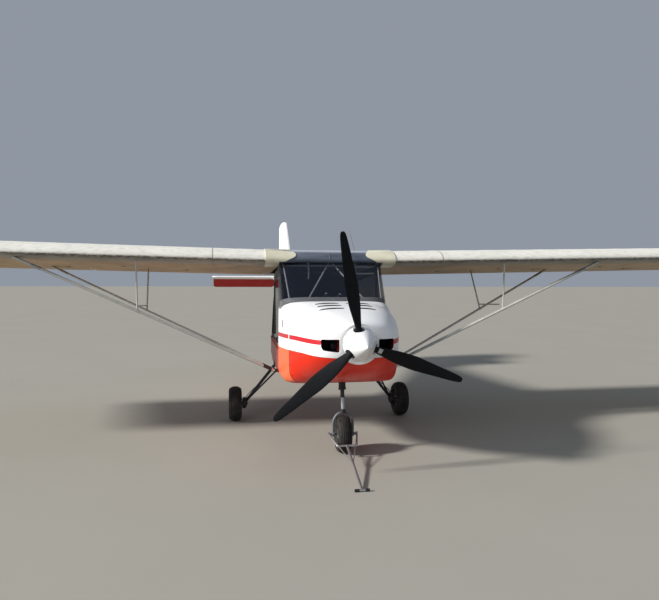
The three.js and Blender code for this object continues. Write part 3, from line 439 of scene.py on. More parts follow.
class Finish:
    """A Principled material, with short ways to add the nodes that vary it."""

    def __init__(self, name, colour, roughness, **sockets):
        self.material = bpy.data.materials.new(name)
        self.material.use_nodes = True
        self.tree = self.material.node_tree
        self.shader = self.tree.nodes["Principled BSDF"]
        self.colour, self.roughness = rgb(colour), roughness
        sockets.update(Base_Color=self.colour, Roughness=roughness)
        for socket, value in sockets.items():
            self.shader.inputs[socket.replace("_", " ")].default_value = value
        self.place = self.add("TexCoord", socket="Object")
        self.x, self.y, self.z = self.axes(self.place)

    def add(self, kind, inputs=(), socket=0, **settings):
        """Adds a node and gives one of its outputs."""
        node = self.tree.nodes.new("ShaderNode" + kind)
        for key, value in settings.items():
            setattr(node, key, value)
        for key, value in dict(inputs).items():
            if isinstance(value, Value):
                self.tree.links.new(value.output, node.inputs[key])
            else:
                node.inputs[key].default_value = value
        return Value(self, node.outputs[socket])

    def axes(self, vector):
        split = self.add("SeparateXYZ", {"Vector": vector}).output.node
        return [Value(self, output) for output in split.outputs]

    def normal(self):
        return self.axes(self.add("NewGeometry", socket="Normal"))

    def math(self, operation, a, b=0.0):
        return self.add("Math", {0: a, 1: b}, operation=operation)

    def noise(self, scale, detail=4.0, stretch=(1, 1, 1)):
        mapping = self.add("Mapping", {"Vector": self.place, "Scale": stretch})
        return self.add("TexNoise", {"Vector": mapping, "Scale": scale, "Detail": detail, "Roughness": 0.55})

    def wave(self, scale, direction="X"):
        return self.add("TexWave", {"Vector": self.place, "Scale": scale}, 1, bands_direction=direction)

    def mix(self, share, one, two, blend="MIX"):
        one, two = (rgb(colour) if isinstance(colour, str) else colour for colour in (one, two))
        return self.add("Mix", {0: share, 6: one, 7: two}, 2, data_type="RGBA", blend_type=blend)

    def paint(self, socket, value):
        self.tree.links.new(value.output, self.shader.inputs[socket])
        return self

    def bump(self, height, distance, strength):
        sockets = {"Height": height, "Distance": distance, "Strength": strength}
        return self.paint("Normal", self.add("Bump", sockets))

    def uneven(self, colour=None, shade=0.12, scale=3.0, rough=0.1):
        """Soft colour drift and smudged gloss, for a surface that has been used."""
        drift = self.noise(scale).ramp(0.3, 0.7, 1.0 - shade, 1.0)
        grey = self.add("CombineColor", {"Red": drift, "Green": drift, "Blue": drift})
        self.paint("Base Color", self.mix(1.0, colour or self.colour, grey, "MULTIPLY"))
        smudged = self.noise(12, 5).ramp(0.3, 0.75, self.roughness, self.roughness + rough)
        return self.paint("Roughness", smudged)


# Heights of the colour line and of the stripe's edges along the body, as (station, height).
colour_line = [(0.06, 0.917), (0.36, 0.925), (0.66, 0.915), (1.30, 0.866), (5.40, 1.33)]
stripe_high = [(0.12, 1.053), (0.51, 1.051), (0.70, 1.043), (1.38, 1.000), (5.40, 1.400)]
stripe_low = [(0.12, 1.016), (0.51, 1.013), (0.70, 1.006), (1.38, 0.961), (5.40, 1.385)]

# The boot panel's reach, from behind the cowl's joint to the front door post: its flank is painted lighter as
# a painted highlight of the low sun, and behind it the red below the door is darkened as a painted wing
# shadow
boot_panel = (0.656, 1.361)
mud = "#5d4635"


def body_paint():
    """White above and red below the colour line, a narrow stripe, a painted highlight on the boot's flank, a
    painted wing shadow below the door, mud splashes low down, and a plain lining inside the cabin.
    """
    skin = Finish("body_paint", "#f4f5f6", 0.36,
                  Coat_Weight=0.15, Coat_Roughness=0.12, Specular_IOR_Level=0.35)
    normal_x, _, normal_z = skin.normal()
    behind = lambda station: skin.y > frame_y(station)
    ahead = lambda station: skin.y < frame_y(station)
    around = lambda station, reach: abs(skin.y - frame_y(station)) < reach

    def line(places):
        height = places[0][1]
        for (y0, z0), (y1, z1) in zip(places, places[1:]):
            height = skin.y.ramp(frame_y(y0), frame_y(y1), 0.0, z1 - z0) + height
        return height

    below = skin.z < line(colour_line)
    stripe = (skin.z > line(stripe_low)) * (skin.z < line(stripe_high)) * behind(0.125)
    stripe = stripe * (1.0 - around(0.668, 0.014))
    rise = skin.z - shaft_height
    nose = (rise ** 2.0 + skin.x ** 2.0 < 0.166 ** 2) * ahead(0.10)
    colour = skin.mix(stripe, "#f4f5f6", "#c4202c")
    # Painted shadow: the red below the door, behind the boot, is darkened where the wing's shadow falls
    wing_shadow_on_sill = behind(boot_panel[1]) * (skin.z < 0.850)
    lower = skin.mix(wing_shadow_on_sill, "#e02808", "#a8281c")
    # Painted highlight: the boot's flat flank, facing the low sun, is painted a lighter orange
    sunlit_flank_highlight = (abs(normal_x) > 0.45) * (behind(boot_panel[0]) * ahead(boot_panel[1]))
    lower = skin.mix(sunlit_flank_highlight, lower, "#ea6c3e")
    lower = skin.mix(around(0.651, 0.0065), lower, "#8c140a")
    colour = skin.mix(below * (1.0 - nose), colour, lower)
    splash = skin.z.ramp(0.72, 0.58) * skin.noise(9, 6).ramp(0.45, 0.75)
    colour = skin.mix(splash * 0.3, colour, mud)
    outward = skin.x * normal_x + (skin.z - widest_height) * normal_z
    inner = (outward < 0.04) * (behind(0.075) * ahead(2.60))
    skin.uneven(skin.mix(inner, colour, "#1c1e22"), shade=0.05, scale=2.2)
    return skin.bump(skin.noise(260, 2), 0.0006, 0.2).material


def wing_fabric():
    """Aged off-white fabric with blotchy dirt and rib tapes, and painted light below: a speckled dark line
    under the leading edge, partly dirt and partly painted shade where the lit nose turns under; behind it a
    painted shaded grey, further back a painted tan reflection of the ground, and painted shadow streaks.
    """
    skin = Finish("wing_fabric", "#e6e3d9", 0.5, Sheen_Weight=0.1)
    out = abs(skin.x) - wing_root_x
    drop = out * math.tan(wing_dihedral) + wing_nose[1] - skin.z
    back = skin.y - frame_y(wing_nose[0])
    colour = skin.mix(skin.noise(26, 8, (0.6, 1.6, 2)).ramp(0.48, 0.70, 0.0, 0.45), "#eae8df", "#b5b3aa")
    # Painted reflection: the tan stands for the ground seen in the shaded underside
    tan = skin.mix(skin.noise(3.5, 6, (1, 0.6, 1)).ramp(0.35, 0.7), "#cda878", "#a5855a")
    # Painted shade: grey on the underside just behind the leading edge
    grey = skin.mix(skin.noise(11, 5, (0.5, 1, 1)).ramp(0.35, 0.65), "#aaa498", "#8b857a")
    under = skin.mix(back.ramp(0.10, 0.28), grey, tan)
    # Painted shadow: dark streaks where the sagging underside fabric shades itself
    under = skin.mix(skin.noise(15, 3, (1, 0.7, 0.2)).ramp(0.66, 0.74, 0.0, 0.75), under, "#4a331f")
    # Faces turned down take the painted underside colours
    colour = skin.mix(skin.normal()[2].ramp(-0.25, -0.6), colour, under)
    # Dark line under the leading edge: speckled dirt on a band of painted shade where the lit nose turns
    # under
    near = drop.ramp(0.002, 0.014) * drop.ramp(0.042, 0.024) * back.ramp(0.10, 0.06)
    speck = skin.noise(60, 8, (0.45, 1, 1)).ramp(0.40, 0.60, 0.1, 0.9)
    colour = skin.mix(near * speck, colour, "#3a3c3e")
    beat = skin.math("PINGPONG", out + rib_pitch / 2, rib_pitch / 2)
    tape = (rib_pitch / 2 - beat < 0.012) * back.ramp(0.16, 0.20)
    joint = (abs(out - 0.62) < 0.006) * back.ramp(0.30, 0.24)
    colour = skin.mix(tape * 0.12, colour, "#8e8a7e")
    skin.uneven(skin.mix(joint * 0.7, colour, "#77746c"), shade=0.1, scale=6, rough=0.15)
    weave = skin.wave(160.0) * skin.wave(160.0, "Y")
    return skin.bump(weave * 0.3 + tape * 0.6, 0.0008, 0.5).material


def tail_fabric(name, colour, white_above=None):
    """Painted fabric over close ribs, with patchy grime and an optional white leading part."""
    skin = Finish(name, colour, 0.5, Specular_IOR_Level=0.25)
    grimy = tuple(0.55 * c for c in skin.colour[:3]) + (1,)
    base = skin.mix(skin.noise(7, 6).ramp(0.45, 0.75, 0.0, 0.3), skin.colour, grimy)
    if white_above:
        pale = skin.math("MAXIMUM", skin.z > white_above, abs(skin.x) > tail_half_span - 0.014)
        base = skin.mix(pale, base, "#eeeeec")
    skin.uneven(base, shade=0.1, scale=4, rough=0.15)
    return skin.bump(skin.wave(150.0), 0.0006, 0.3).material


def sheet(name, colour, alpha, roughness=0.04):
    """Clear or smoked plastic sheet, with faint wiping marks."""
    skin = Finish(name, colour, roughness, Alpha=alpha, Specular_IOR_Level=0.7, IOR=1.49)
    marks = skin.noise(18, 7, (0.4, 1, 2)).ramp(0.4, 0.8, 0.0, 0.12)
    return skin.paint("Roughness", marks + roughness).material


def roof_sheet():
    """The smoked sheet between the wings: dark grey-blue over the cabin, and pale along its upper edge, where
    upward faces carry a painted reflection of the sky.
    """
    skin = Finish("roof_sheet", "#39444f", 0.3, Alpha=0.96, Specular_IOR_Level=0.25, IOR=1.49)
    cloudy = skin.mix(skin.noise(7, 4, (0.4, 1, 2)).ramp(0.3, 0.7), "#434b58", "#69717f")
    # Painted reflection: faces turned up are mixed towards pale grey, as the sky shows in them
    skin.paint("Base Color", skin.mix(skin.normal()[2].ramp(0.93, 0.99) * 0.85, cloudy, "#c9ced6"))
    return skin.bump(skin.noise(60, 3), 0.0008, 0.2).material


def tyre_rubber():
    """Black rubber with dust in patches."""
    skin = Finish("tyre_rubber", "#1b1b1c", 0.8)
    dust = skin.noise(16, 7).ramp(0.4, 0.75, 0.0, 0.55)
    skin.uneven(skin.mix(dust, skin.colour, "#4b463d"), shade=0.2, scale=20)
    return skin.bump(skin.noise(140, 5), 0.001, 0.5).material


def seat_cloth():
    """A coarse dark weave."""
    skin = Finish("seat_cloth", "#22262c", 0.85, Sheen_Weight=0.1)
    skin.uneven(shade=0.3, scale=8)
    return skin.bump(skin.wave(90.0) + skin.wave(90.0, "Z"), 0.001, 0.5).material


def door_paint():
    """Red below the window, darker than the body's red as painted shade of the wing's shadow, with mud
    splashes low down, and a mottled grey frame round the pane.
    """
    skin = Finish("door_paint", "#c8240f", 0.5, Specular_IOR_Level=0.25)
    frame = skin.mix(skin.noise(12, 5).ramp(0.4, 0.7), "#55575a", "#6f6d6a")
    splash = skin.z.ramp(0.98, 0.84) * skin.noise(9, 6).ramp(0.45, 0.7)
    # Painted shade: this red is darker than the body's red, standing for the wing's shadow on the door
    below = skin.mix(splash * 0.3, "#b02a1e", mud)
    skin.uneven(skin.mix(skin.z > 0.872, below, frame), shade=0.08)
    return skin.bump(skin.noise(260, 2), 0.0006, 0.25).material


def duct_paint():
    """The inside of a cooling inlet: red side walls near the mouth, and black above, below and behind as
    painted shade in the recess.
    """
    skin = Finish("duct_paint", "#101113", 0.6)
    # Painted shade: everything but the side walls near the mouth is black
    side = abs(skin.normal()[0]) > 0.75
    near = skin.y.ramp(frame_y(0.30), frame_y(0.14))
    return skin.uneven(skin.mix(side * near, skin.colour, "#a3161a")).material


def dull(name, colour, roughness, shade=0.3, scale=12, rough=0.12,
         grain=(240, 4), depth=(0.0006, 0.4), **sockets):
    """A plain finish with drifting colour, smudged gloss and a fine grain."""
    skin = Finish(name, colour, roughness, **sockets)
    skin.uneven(shade=shade, scale=scale, rough=rough)
    return skin.bump(skin.noise(*grain), *depth).material


def gloss(name, colour, roughness=0.24, shade=0.06):
    coat = {"Coat_Weight": 0.4, "Coat_Roughness": 0.08}
    return dull(name, colour, roughness, shade, 5, 0.12, (260, 2), (0.0006, 0.25), **coat)


def metal(name, colour, roughness):
    return dull(name, colour, roughness, 0.25, 14, 0.2, (220, 3), (0.0004, 0.35), Metallic=0.9)


body_skin = body_paint()
spinner_white = gloss("spinner_white", "#f2f3f4")
cream = gloss("cream_cap", "#dfdac2", 0.42, 0.22)
fabric = wing_fabric()
tail_white = tail_fabric("tail_white", "#eeeeec")
tail_red = tail_fabric("tail_red", "#b00a0a", elevator_hinge[1] - 0.034)
fitting_red = gloss("fitting_red", "#7c120c", 0.4, 0.2)
screen_sheet = sheet("screen_sheet", "#141b2a", 0.34)
clear = sheet("clear_sheet", "#151c2c", 0.72)
smoke = roof_sheet()
alloy = metal("bare_alloy", "#a9acae", 0.38)
silver = metal("silver_steel", "#c3c5c7", 0.3)
strut_silver = dull("strut_silver", "#bcbdb9", 0.38, 0.2)
gun_steel = metal("gun_steel", "#4a4a4d", 0.38)
steel = dull("dark_steel", "#2a2b2e", 0.45)
frame_grey = dull("frame_grey", "#6f7477", 0.4)
tube_light = dull("tube_light", "#eceef0", 0.35, 0.1)
shield_grey = dull("shield_grey", "#a9abae", 0.6, 0.15)
dark_trim = dull("dark_trim", "#1e2024", 0.5)
dial_black = dull("dial_black", "#0d0e10", 0.3, 0.15)
band_grey = dull("band_grey", "#c9cbcd", 0.55, 0.2)
engine_metal = dull("engine_metal", "#55585c", 0.5)
rubber = tyre_rubber()
blade_paint = dull("blade_black", "#070a11", 0.6, 0.35, 9, 0.2,
                   (300, 3), (0.0004, 0.3), Specular_IOR_Level=0.22)
cloth = seat_cloth()
door_skin = door_paint()
duct_skin = duct_paint()

# The record's slot that each finish stands for where a piece says no other
slots = {
    "white_paint": [spinner_white], "red_paint": [body_skin, door_skin, fitting_red], "cream_cap": [cream],
    "wing_fabric": [fabric], "tail_fabric": [tail_white], "deep_red_fabric": [tail_red],
    "clear_sheet": [screen_sheet, clear], "smoked_sheet": [smoke],
    "bare_alloy": [alloy, silver, strut_silver, frame_grey, tube_light], "dark_steel": [gun_steel, steel],
    "panel_grey": [shield_grey, dark_trim, dial_black, band_grey, duct_skin], "engine_metal": [engine_metal],
    "tyre_rubber": [rubber], "black_composite": [blade_paint], "seat_fabric": [cloth],
}
usual_slot = {material.name: slot for slot, materials in slots.items() for material in materials}


# Fuselage forms
def body_rings(rows, inset=0.0, front=0.0, rear=0.0, per_gap=5, count=96):
    """Sections along the body, smooth between the rows, shrunk by inset, end rows moved along Y."""
    columns = np.array(rows, float).T
    columns[0][0] += front
    columns[0][-1] += rear
    gaps = zip(columns[0], columns[0][1:])
    ys = np.concatenate([np.linspace(a, b, per_gap, endpoint=False) for a, b in gaps])
    ys = np.append(ys, columns[0][-1])
    half, top, low, waist, up, down, lean = (graded(columns[0], column, ys) for column in columns[1:])
    angles = 2 * math.pi * (np.arange(count) + 0.5) / count
    c, s = np.cos(angles), np.sin(angles)
    rings = []
    for i, y in enumerate(ys):
        power = np.where(s > 0, 2 / up[i], 2 / down[i])
        reach = np.where(s > 0, top[i] - waist[i], waist[i] - low[i])
        rise = np.sign(s) * np.abs(s) ** power
        x = np.sign(c) * np.abs(c) ** power * (half[i] * (1 - lean[i] * np.maximum(rise, 0)) - inset)
        rings.append(np.column_stack([x, np.full(count, y), waist[i] + rise * (reach - inset)]))
    return rings


def body(rows=nose_rows, inset=0.0, front=0.0, rear=0.0):
    return loft(body_rings(rows, inset, front, rear))


def clear_of_cabin(rows=nose_rows[8:]):
    """The body skin grown by a seat gap, to trim what stands on it."""
    return body(rows, -seat_gap)


def clear_of_tail():
    return body(tail_rows, -seat_gap)


def cowl_height(x, y):
    """Height of the upper skin of the nose at (x, y)."""
    half, top, power = graded_at(nose_rows, y, 1, 2, 5)
    return widest_height + (top - widest_height) * (1 - abs(x / half) ** power) ** (1 / power)


# The seam between the cowls and the cabin: y and height of its lower and upper bend
cowl_seam = {"low": (0.652, 1.060), "high": (0.900, 1.330)}


def ahead_of_seam(shift):
    (low_y, low_z), (high_y, high_z) = cowl_seam["low"], cowl_seam["high"]
    return prism("x", [(-0.3, 0.3), (low_y + shift, 0.3), (low_y + shift, low_z),
                       (high_y + shift, high_z), (high_y + shift, 1.5), (-0.3, 1.5)], -0.8, 0.8)


def above_colour_line(shift):
    line = [(-0.3, colour_line[0][1] + shift)] + [(y, z + shift) for y, z in colour_line[:4]]
    return prism("x", line + [(3, line[-1][1]), (3, 2.5), (-0.3, 2.5)], -0.8, 0.8)


inlet_outline = [(0.155, 1.063), (0.285, 1.061), (0.291, 1.046), (0.290, 1.000), (0.276, 0.975),
                 (0.161, 0.962), (0.153, 0.972)]


def corner_rounded(outline, radius, steps=4):
    """An outline whose corners are replaced by short curves of about that radius."""
    line = []
    count = len(outline)
    for i, here in enumerate(outline):
        here = np.array(here)
        before, after = np.array(outline[i - 1]), np.array(outline[(i + 1) % count])
        enter = here + (before - here) * min(radius / np.linalg.norm(before - here), 0.45)
        leave = here + (after - here) * min(radius / np.linalg.norm(after - here), 0.45)
        for t in np.linspace(0, 1, steps + 1):
            line.append((1 - t) ** 2 * enter + 2 * t * (1 - t) * here + t * t * leave)
    return [tuple(p) for p in line]


def inlet(side, grown=0.0, low=-0.02, high=0.33):
    centre = np.mean(inlet_outline, axis=0)
    outline = [tuple(np.array(p) + grown * (np.array(p) - centre) / np.linalg.norm(np.array(p) - centre))
               for p in corner_rounded(inlet_outline, 0.010)]
    return prism("y", [(side * x, z) for x, z in outline], low, high)


louvre_rows = [0.500, 0.620, 0.740]
louvre_reach = (0.030, 0.245)
louvre_depth = 0.016


def louvre_slots(side):
    x0, x1 = sorted(side * x for x in louvre_reach)
    return [block(x0, x1, y, y + louvre_depth, 1.2, 1.4) for y in louvre_rows]


def cowls():
    openings = lambda: [turned([(0, 0), (0.092, 0), (0.092, 0.12), (0, 0.12)], 48, "y",
                               (0, 0, shaft_height)), inlet(1), inlet(-1)]
    shell = cut(body(), body(inset=cowl_wall, front=cowl_wall, rear=-cowl_wall))
    shell = keep(shell, ahead_of_seam(-panel_gap / 2))
    lower = copied(shell)
    upper = cut(keep(shell, above_colour_line(panel_gap / 4)), *openings(), *louvre_slots(1),
                *louvre_slots(-1))
    lower = cut(lower, above_colour_line(-panel_gap / 4), *openings(),
                block(-0.15, 0.15, 0.56, 0.70, 0.5, 0.7))
    dress(upper, "upper_cowl_skin", body_skin, ["upper_cowl"], slot="white_paint")
    dress(lower, "lower_cowl_skin", body_skin, ["lower_cowl"])


def louvre_hoods():
    """A low hood behind each slot, raised from the cowl's own skin."""
    nx, ny, long, rise, thick = 14, 6, 0.055, 0.007, 0.0015
    for side, name in named_sides:
        def point(layer, i, j):
            x = side * (louvre_reach[0] + (louvre_reach[1] - louvre_reach[0]) * i / nx)
            end, share = math.sin(math.pi * i / nx) ** 0.4, j / ny
            y = slot_y + louvre_depth * 0.55 + share * long
            lift = rise * end * (1 - share) ** 1.5 + 0.0008
            return x, y, cowl_height(x, y) + lift - layer * (thick + 0.0006 * (1 - end))

        hoods = []
        for slot_y in louvre_rows:
            hoods.append(new_object(*grid_shell(nx, ny, point)))
        dress(join(hoods), f"louvre_hoods_{name}", body_skin, slot="white_paint")


def join(parts):
    """One object that holds separate solids."""
    points, faces = [], []
    for part in parts:
        start = len(points)
        points += [tuple(v.co) for v in part.data.vertices]
        faces += [tuple(start + i for i in face.vertices) for face in part.data.polygons]
        bpy.data.objects.remove(part)
    whole = new_object(points, faces)
    if signed_volume(np.array(points), faces) < 0:
        whole.data.flip_normals()
    return whole


def inlet_ducts():
    for side, name in named_sides:
        duct = cut(inlet(side, 0.006, 0.135, 0.34), inlet(side, 0.002, 0.10, 0.33))
        dress(duct, f"inlet_duct_{name}", duct_skin, sharp=20)


# Windscreen. Columns: height, y of the middle of the arc, squareness of its corners.
screen_levels = [(1.100, 0.800, 4.2), (1.316, 0.925, 4.2), (1.480, 1.080, 3.8), (1.640, 1.244, 3.2),
                 (1.700, 1.308, 3.0)]


pane_inside = 0.0053  # the pane's thickness and a seat gap


def screen(inset=0.0, count=72):
    half = front_post[0] - 0.002 - inset
    rings = []
    for z in np.linspace(screen_levels[0][0], screen_levels[-1][0], 25):
        middle, square = graded_at(screen_levels, z, 1, 2)
        depth = front_post[1] - middle - inset
        angles = math.pi * np.arange(count + 1) / count
        x = np.sign(np.cos(angles)) * np.abs(np.cos(angles)) ** (2 / square) * half
        y = front_post[1] - np.abs(np.sin(angles)) ** (2 / square) * depth
        ring = [(u, v, z) for u, v in zip(x, y)]
        rings.append(ring + [(-half, front_post[1] + 0.06, z), (half, front_post[1] + 0.06, z)])
    return loft(rings)


def windscreen():
    rear_part = lambda y: block(-0.9, 0.9, y, 3, 0, 3)
    slice_of = lambda low, high: block(-0.9, 0.9, 0, 3, low, high)
    behind = lambda: rear_part(front_post[1] - 0.003)
    pane = cut(screen(), screen(0.005), clear_of_cabin(nose_rows[4:11]), behind(), centre_form(roof_gap),
               slice_of(1.690, 3))
    dress(pane, "windscreen_pane", screen_sheet, ["windscreen"], sharp=50)
    strip = cut(screen(pane_inside), screen(0.008), rear_part(front_post[1] - 0.05), slice_of(0, 1.632),
                slice_of(1.646, 3))
    dress(strip, "screen_top_strip", alloy, sharp=50)
    band = cut(screen(pane_inside), screen(0.009), body(nose_rows[4:11], -0.0005), behind())
    band = keep(band, body(nose_rows[4:11], -0.036))
    dress(band, "screen_base_band", band_grey, sharp=50)


# Cabin body
def cabin():
    boot = cut(body(), body(inset=cabin_wall, rear=0.06), ahead_of_seam(panel_gap / 2))
    space = block(-0.9, 0.9, front_post[1] + door_stop, 3, sill_height, 3)
    firewall = keep(body(inset=cabin_wall - 0.002, rear=0.06),
                    block(-0.9, 0.9, firewall_y, firewall_y + 0.012, 0, 1.235))
    scuttle = keep(screen(0.034), block(-0.9, 0.9, 0.9, 3, 1.12, 3))
    shell = fuse(cut(boot, space, scuttle), firewall)
    dress(shell, "cabin_skin", body_skin, ["cabin_body"])


# Wing
upper_curve = [(1, 0.003), (0.8, 0.042), (0.6, 0.076), (0.45, 0.094), (0.32, 0.1), (0.2, 0.094),
               (0.11, 0.077), (0.05, 0.054), (0.018, 0.031), (0.004, 0.014)]
lower_curve = [(0, 0), (0.004, -0.011), (0.018, -0.02), (0.05, -0.027), (0.11, -0.031), (0.25, -0.032),
               (0.45, -0.025), (0.7, -0.013), (1, -0.002)]
wing_section = np.array([tuple(p) for p in curve(upper_curve + lower_curve, 4)]) * wing_chord
root_frame = Matrix.Translation((0, *wing_nose)) @ Matrix.Rotation(-wing_incidence, 4, "X")
wing_frame = (Matrix.Translation((wing_root_x, *wing_nose)) @ Matrix.Rotation(-wing_dihedral, 4, "Y")
              @ Matrix.Rotation(-wing_incidence, 4, "X"))


def between(curve_points, chord_at):
    xs, zs = np.array(sorted(curve_points)).T * wing_chord
    return float(np.interp(chord_at, xs, zs))


hinge_top, hinge_low = between(upper_curve, surface_hinge), between(lower_curve, surface_hinge)
hinge_height = (hinge_top + hinge_low) / 2
surface_radius = (hinge_top - hinge_low) / 2


def offset_section(skin):
    """The wing section grown by a skin, or shrunk where the skin is negative."""
    before, after = np.roll(wing_section, 1, axis=0), np.roll(wing_section, -1, axis=0)
    edge = after - before
    edge /= np.linalg.norm(edge, axis=1)[:, None]
    return wing_section + np.column_stack([edge[:, 1], -edge[:, 0]]) * skin


def centre_form(grown):
    half = wing_root_x - seat_gap
    return placed(prism("x", offset_section(grown), -half, half), root_frame)


def centre_section():
    half = wing_root_x - 0.001
    outer = prism("x", wing_section, -half, half)
    thick = [p for p in offset_section(-0.007) if p[0] < 0.9 * wing_chord]
    inner = prism("x", thick, -half - 0.001, half + 0.001)
    belly = block(-half - 0.001, half + 0.001, 0.030, 1.130, -0.3, 0.004)
    roof = placed(cut(outer, inner, belly), root_frame)
    dress(roof, "roof_sheet", smoke, ["centre_section"], sharp=50)


def sag(x, depth):
    """How much the fabric sinks between two ribs."""
    return depth * abs(math.sin(math.pi * x / rib_pitch)) ** 0.8


def wing_solid():
    tip_x = wing_half_span / math.cos(wing_dihedral) - wing_root_x
    tips = [(tip_x - 0.15, 1, 0), (tip_x - 0.06, 0.965, 0.003), (tip_x - 0.018, 0.9, 0.010),
            (tip_x, 0.8, 0.020)]
    steps = int((tip_x - 0.15) / (rib_pitch / 6))
    stops = [(x, 1, 0) for x in np.linspace(0, tip_x - 0.15, steps, endpoint=False)]
    stops += [(x, *graded_at(tips, x, 1, 2)) for x in np.linspace(tips[0][0], tips[-1][0], 10)]
    middle = wing_chord * 0.4
    chordwise = np.minimum((wing_section[:, 0] - 0.16) / 0.3, (wing_chord - wing_section[:, 0]) / 0.3)
    chordwise = np.clip(chordwise, 0, 1)
    rings = []
    for x, scale, lift in stops:
        y = middle + (wing_section[:, 0] - middle) * scale
        thin = 1 - chordwise * sag(x, 0.045) * (1 if x < tip_x - 0.2 else 0)
        z = wing_section[:, 1] * scale * thin + lift
        lean = (z * math.cos(wing_incidence) - y * math.sin(wing_incidence)) * math.tan(wing_dihedral)
        rings.append(np.column_stack([lean if x == 0 else np.full(len(y), x), y, z]))
    return loft(rings)


tongue = {"width": 0.006, "eye": 0.008, "root": 0.011}
flap_hinges = [0.260, 0.920, 1.640]
aileron_hinges = [0.300, 1.320, 2.360]


def hinge_tongue(x, face_y, axis_y, axis_z):
    eye, root = tongue["eye"], tongue["root"]
    outline = [(face_y - 0.006, axis_z - root), (axis_y, axis_z - eye), (axis_y + eye, axis_z),
               (axis_y, axis_z + eye), (face_y - 0.006, axis_z + root)]
    return prism("x", outline, x - tongue["width"] / 2, x + tongue["width"] / 2)


def hinge_slot(x, radius):
    half = tongue["width"] / 2 + seat_gap
    return block(x - half, x + half, -2 * radius, tongue["eye"] + 0.004, -2 * radius, 2 * radius)


def wings():
    bay_front = surface_hinge - surface_radius - hinge_gap
    bay = block(flap_span[0] - hinge_gap, aileron_span[1] + hinge_gap, bay_front, 2, -0.5, 0.5)
    places = [flap_span[0] + x for x in flap_hinges] + [aileron_span[0] + x for x in aileron_hinges]
    wing = fuse(cut(wing_solid(), bay), *[hinge_tongue(x, bay_front, surface_hinge, hinge_height)
                                          for x in places])
    both_sides(placed(wing, wing_frame), "wing_skin", fabric, "wing_{side}")


def surface_outline(length, radius, edge_height, steps=14):
    angles = np.linspace(math.pi / 2, 3 * math.pi / 2, steps + 1)
    arc = [(math.cos(angle) * radius, math.sin(angle) * radius) for angle in angles]
    return arc + [(length, edge_height - 0.003), (length, edge_height + 0.003)]


def ribbed_surface(outline, x0, x1, depth=0.05):
    """A tapered control surface whose skins sink a little between its ribs."""
    dense = []
    for a, b in zip(outline, outline[1:] + outline[:1]):
        parts = 8 if math.dist(a, b) > 0.1 else 1
        dense += [tuple(np.array(a) + (np.array(b) - np.array(a)) * t / parts) for t in range(parts)]
    dense = np.array(dense)
    length = dense[:, 0].max()
    share = np.clip(np.minimum(dense[:, 0] / 0.05, (length - dense[:, 0]) / 0.05), 0, 1)
    middle = np.interp(dense[:, 0], [0, length], [0, outline[-1][1] - 0.003])
    rings = []
    for x in np.linspace(x0, x1, max(2, int(abs(x1 - x0) / 0.05))):
        ends = min(abs(x - x0), abs(x1 - x)) > 0.01
        thin = 1 - share * (sag(x - x0, depth) if ends else 0)
        height = middle + (dense[:, 1] - middle) * thin
        rings.append(np.column_stack([np.full(len(dense), x), dense[:, 0], height]))
    return loft(rings)


def wing_surfaces():
    outline = surface_outline(wing_chord - surface_hinge, surface_radius, -hinge_height)
    for name, span, hinges in (("flap", flap_span, flap_hinges), ("aileron", aileron_span, aileron_hinges)):
        piece = ribbed_surface(outline, 0, span[1] - span[0])
        piece = cut(piece, *[hinge_slot(x, surface_radius) for x in hinges])
        place = wing_frame @ Matrix.Translation((span[0], surface_hinge, hinge_height))
        both_sides(placed(piece, place), f"{name}_skin", fabric, name + "_{side}", body=name + "_{side}")


def root_fairings():
    reach = (-0.190, 0.128)
    skin = cut(prism("x", offset_section(0.009), *reach),
               prism("x", offset_section(seat_gap), reach[0] - 0.01, reach[1] + 0.01))
    front = [(0.128, -0.080), (0.128, 0.150), (-0.060, 0.150), (-0.122, 0.106), (-0.154, 0.074),
             (-0.164, 0.052), (-0.150, 0.026), (-0.070, -0.014), (-0.024, -0.050), (-0.010, -0.080)]
    cap = placed(keep(skin, prism("y", corner_rounded(front, 0.024), -0.060, 0.210)), wing_frame)
    cap = cut(cap, centre_form(seat_gap), block(-0.6, wing_root_x, 1.2, 1.6, 1.5, 1.676))
    both_sides(cap, "root_cap", cream, "root_fairing_{side}", sharp=50)
    screws = [turned([(0, 0), (0.006, 0), (0.005, 0.0015), (0, 0.002)], 12, "z", (x, y, z))
              for x, y, z in section_points([(0.095, 0.30), (0.095, 0.12), (0.02, 0.22), (-0.055, 0.13)])]
    both_sides(placed(join(screws), wing_frame), "root_cap_screws", steel)


def section_points(places):
    """Points on the upper skin of the root cap, from (x, distance behind the nose)."""
    return [(x, y, between(upper_curve, y) + 0.0085) for x, y in places]


def fuel_caps():
    profile = [(0, 0), (0.030, 0), (0.030, 0.012), (0.0285, 0.0145), (0.021, 0.0150), (0.020, 0.020),
               (0.0185, 0.0215), (0, 0.0215)]
    height = between(upper_curve, 0.540) + 0.0002
    cap = turned([(r, h * 0.92) for r, h in profile], 48, "z", (0.420, 0.540, height))
    vent = tube(curve([(0.420, 0.540, height + 0.016), (0.420, 0.540, height + 0.040),
                       (0.418, 0.524, height + 0.052), (0.412, 0.504, height + 0.054)], 6), 0.004, 14)
    cap = fuse(cap, block(0.402, 0.438, 0.5385, 0.5415, height + 0.012, height + 0.0225), vent)
    both_sides(placed(cap, wing_frame), "fuel_cap_top", silver, "fuel_cap_{side}", slot="panel_grey")


# Doors
door_front = front_post[1] + door_stop + post_width + door_gap
door_rear = rear_post[1] - post_width - door_gap
door_depth = 0.024
door_rail = 0.038
pane_low = 0.880


def door_top(y):
    return 1.608 - (y - door_front) * math.tan(wing_incidence)


def door_plane(y):
    share = (y - front_post[1]) / (rear_post[1] - front_post[1])
    return front_post[0] + share * (rear_post[0] - front_post[0])


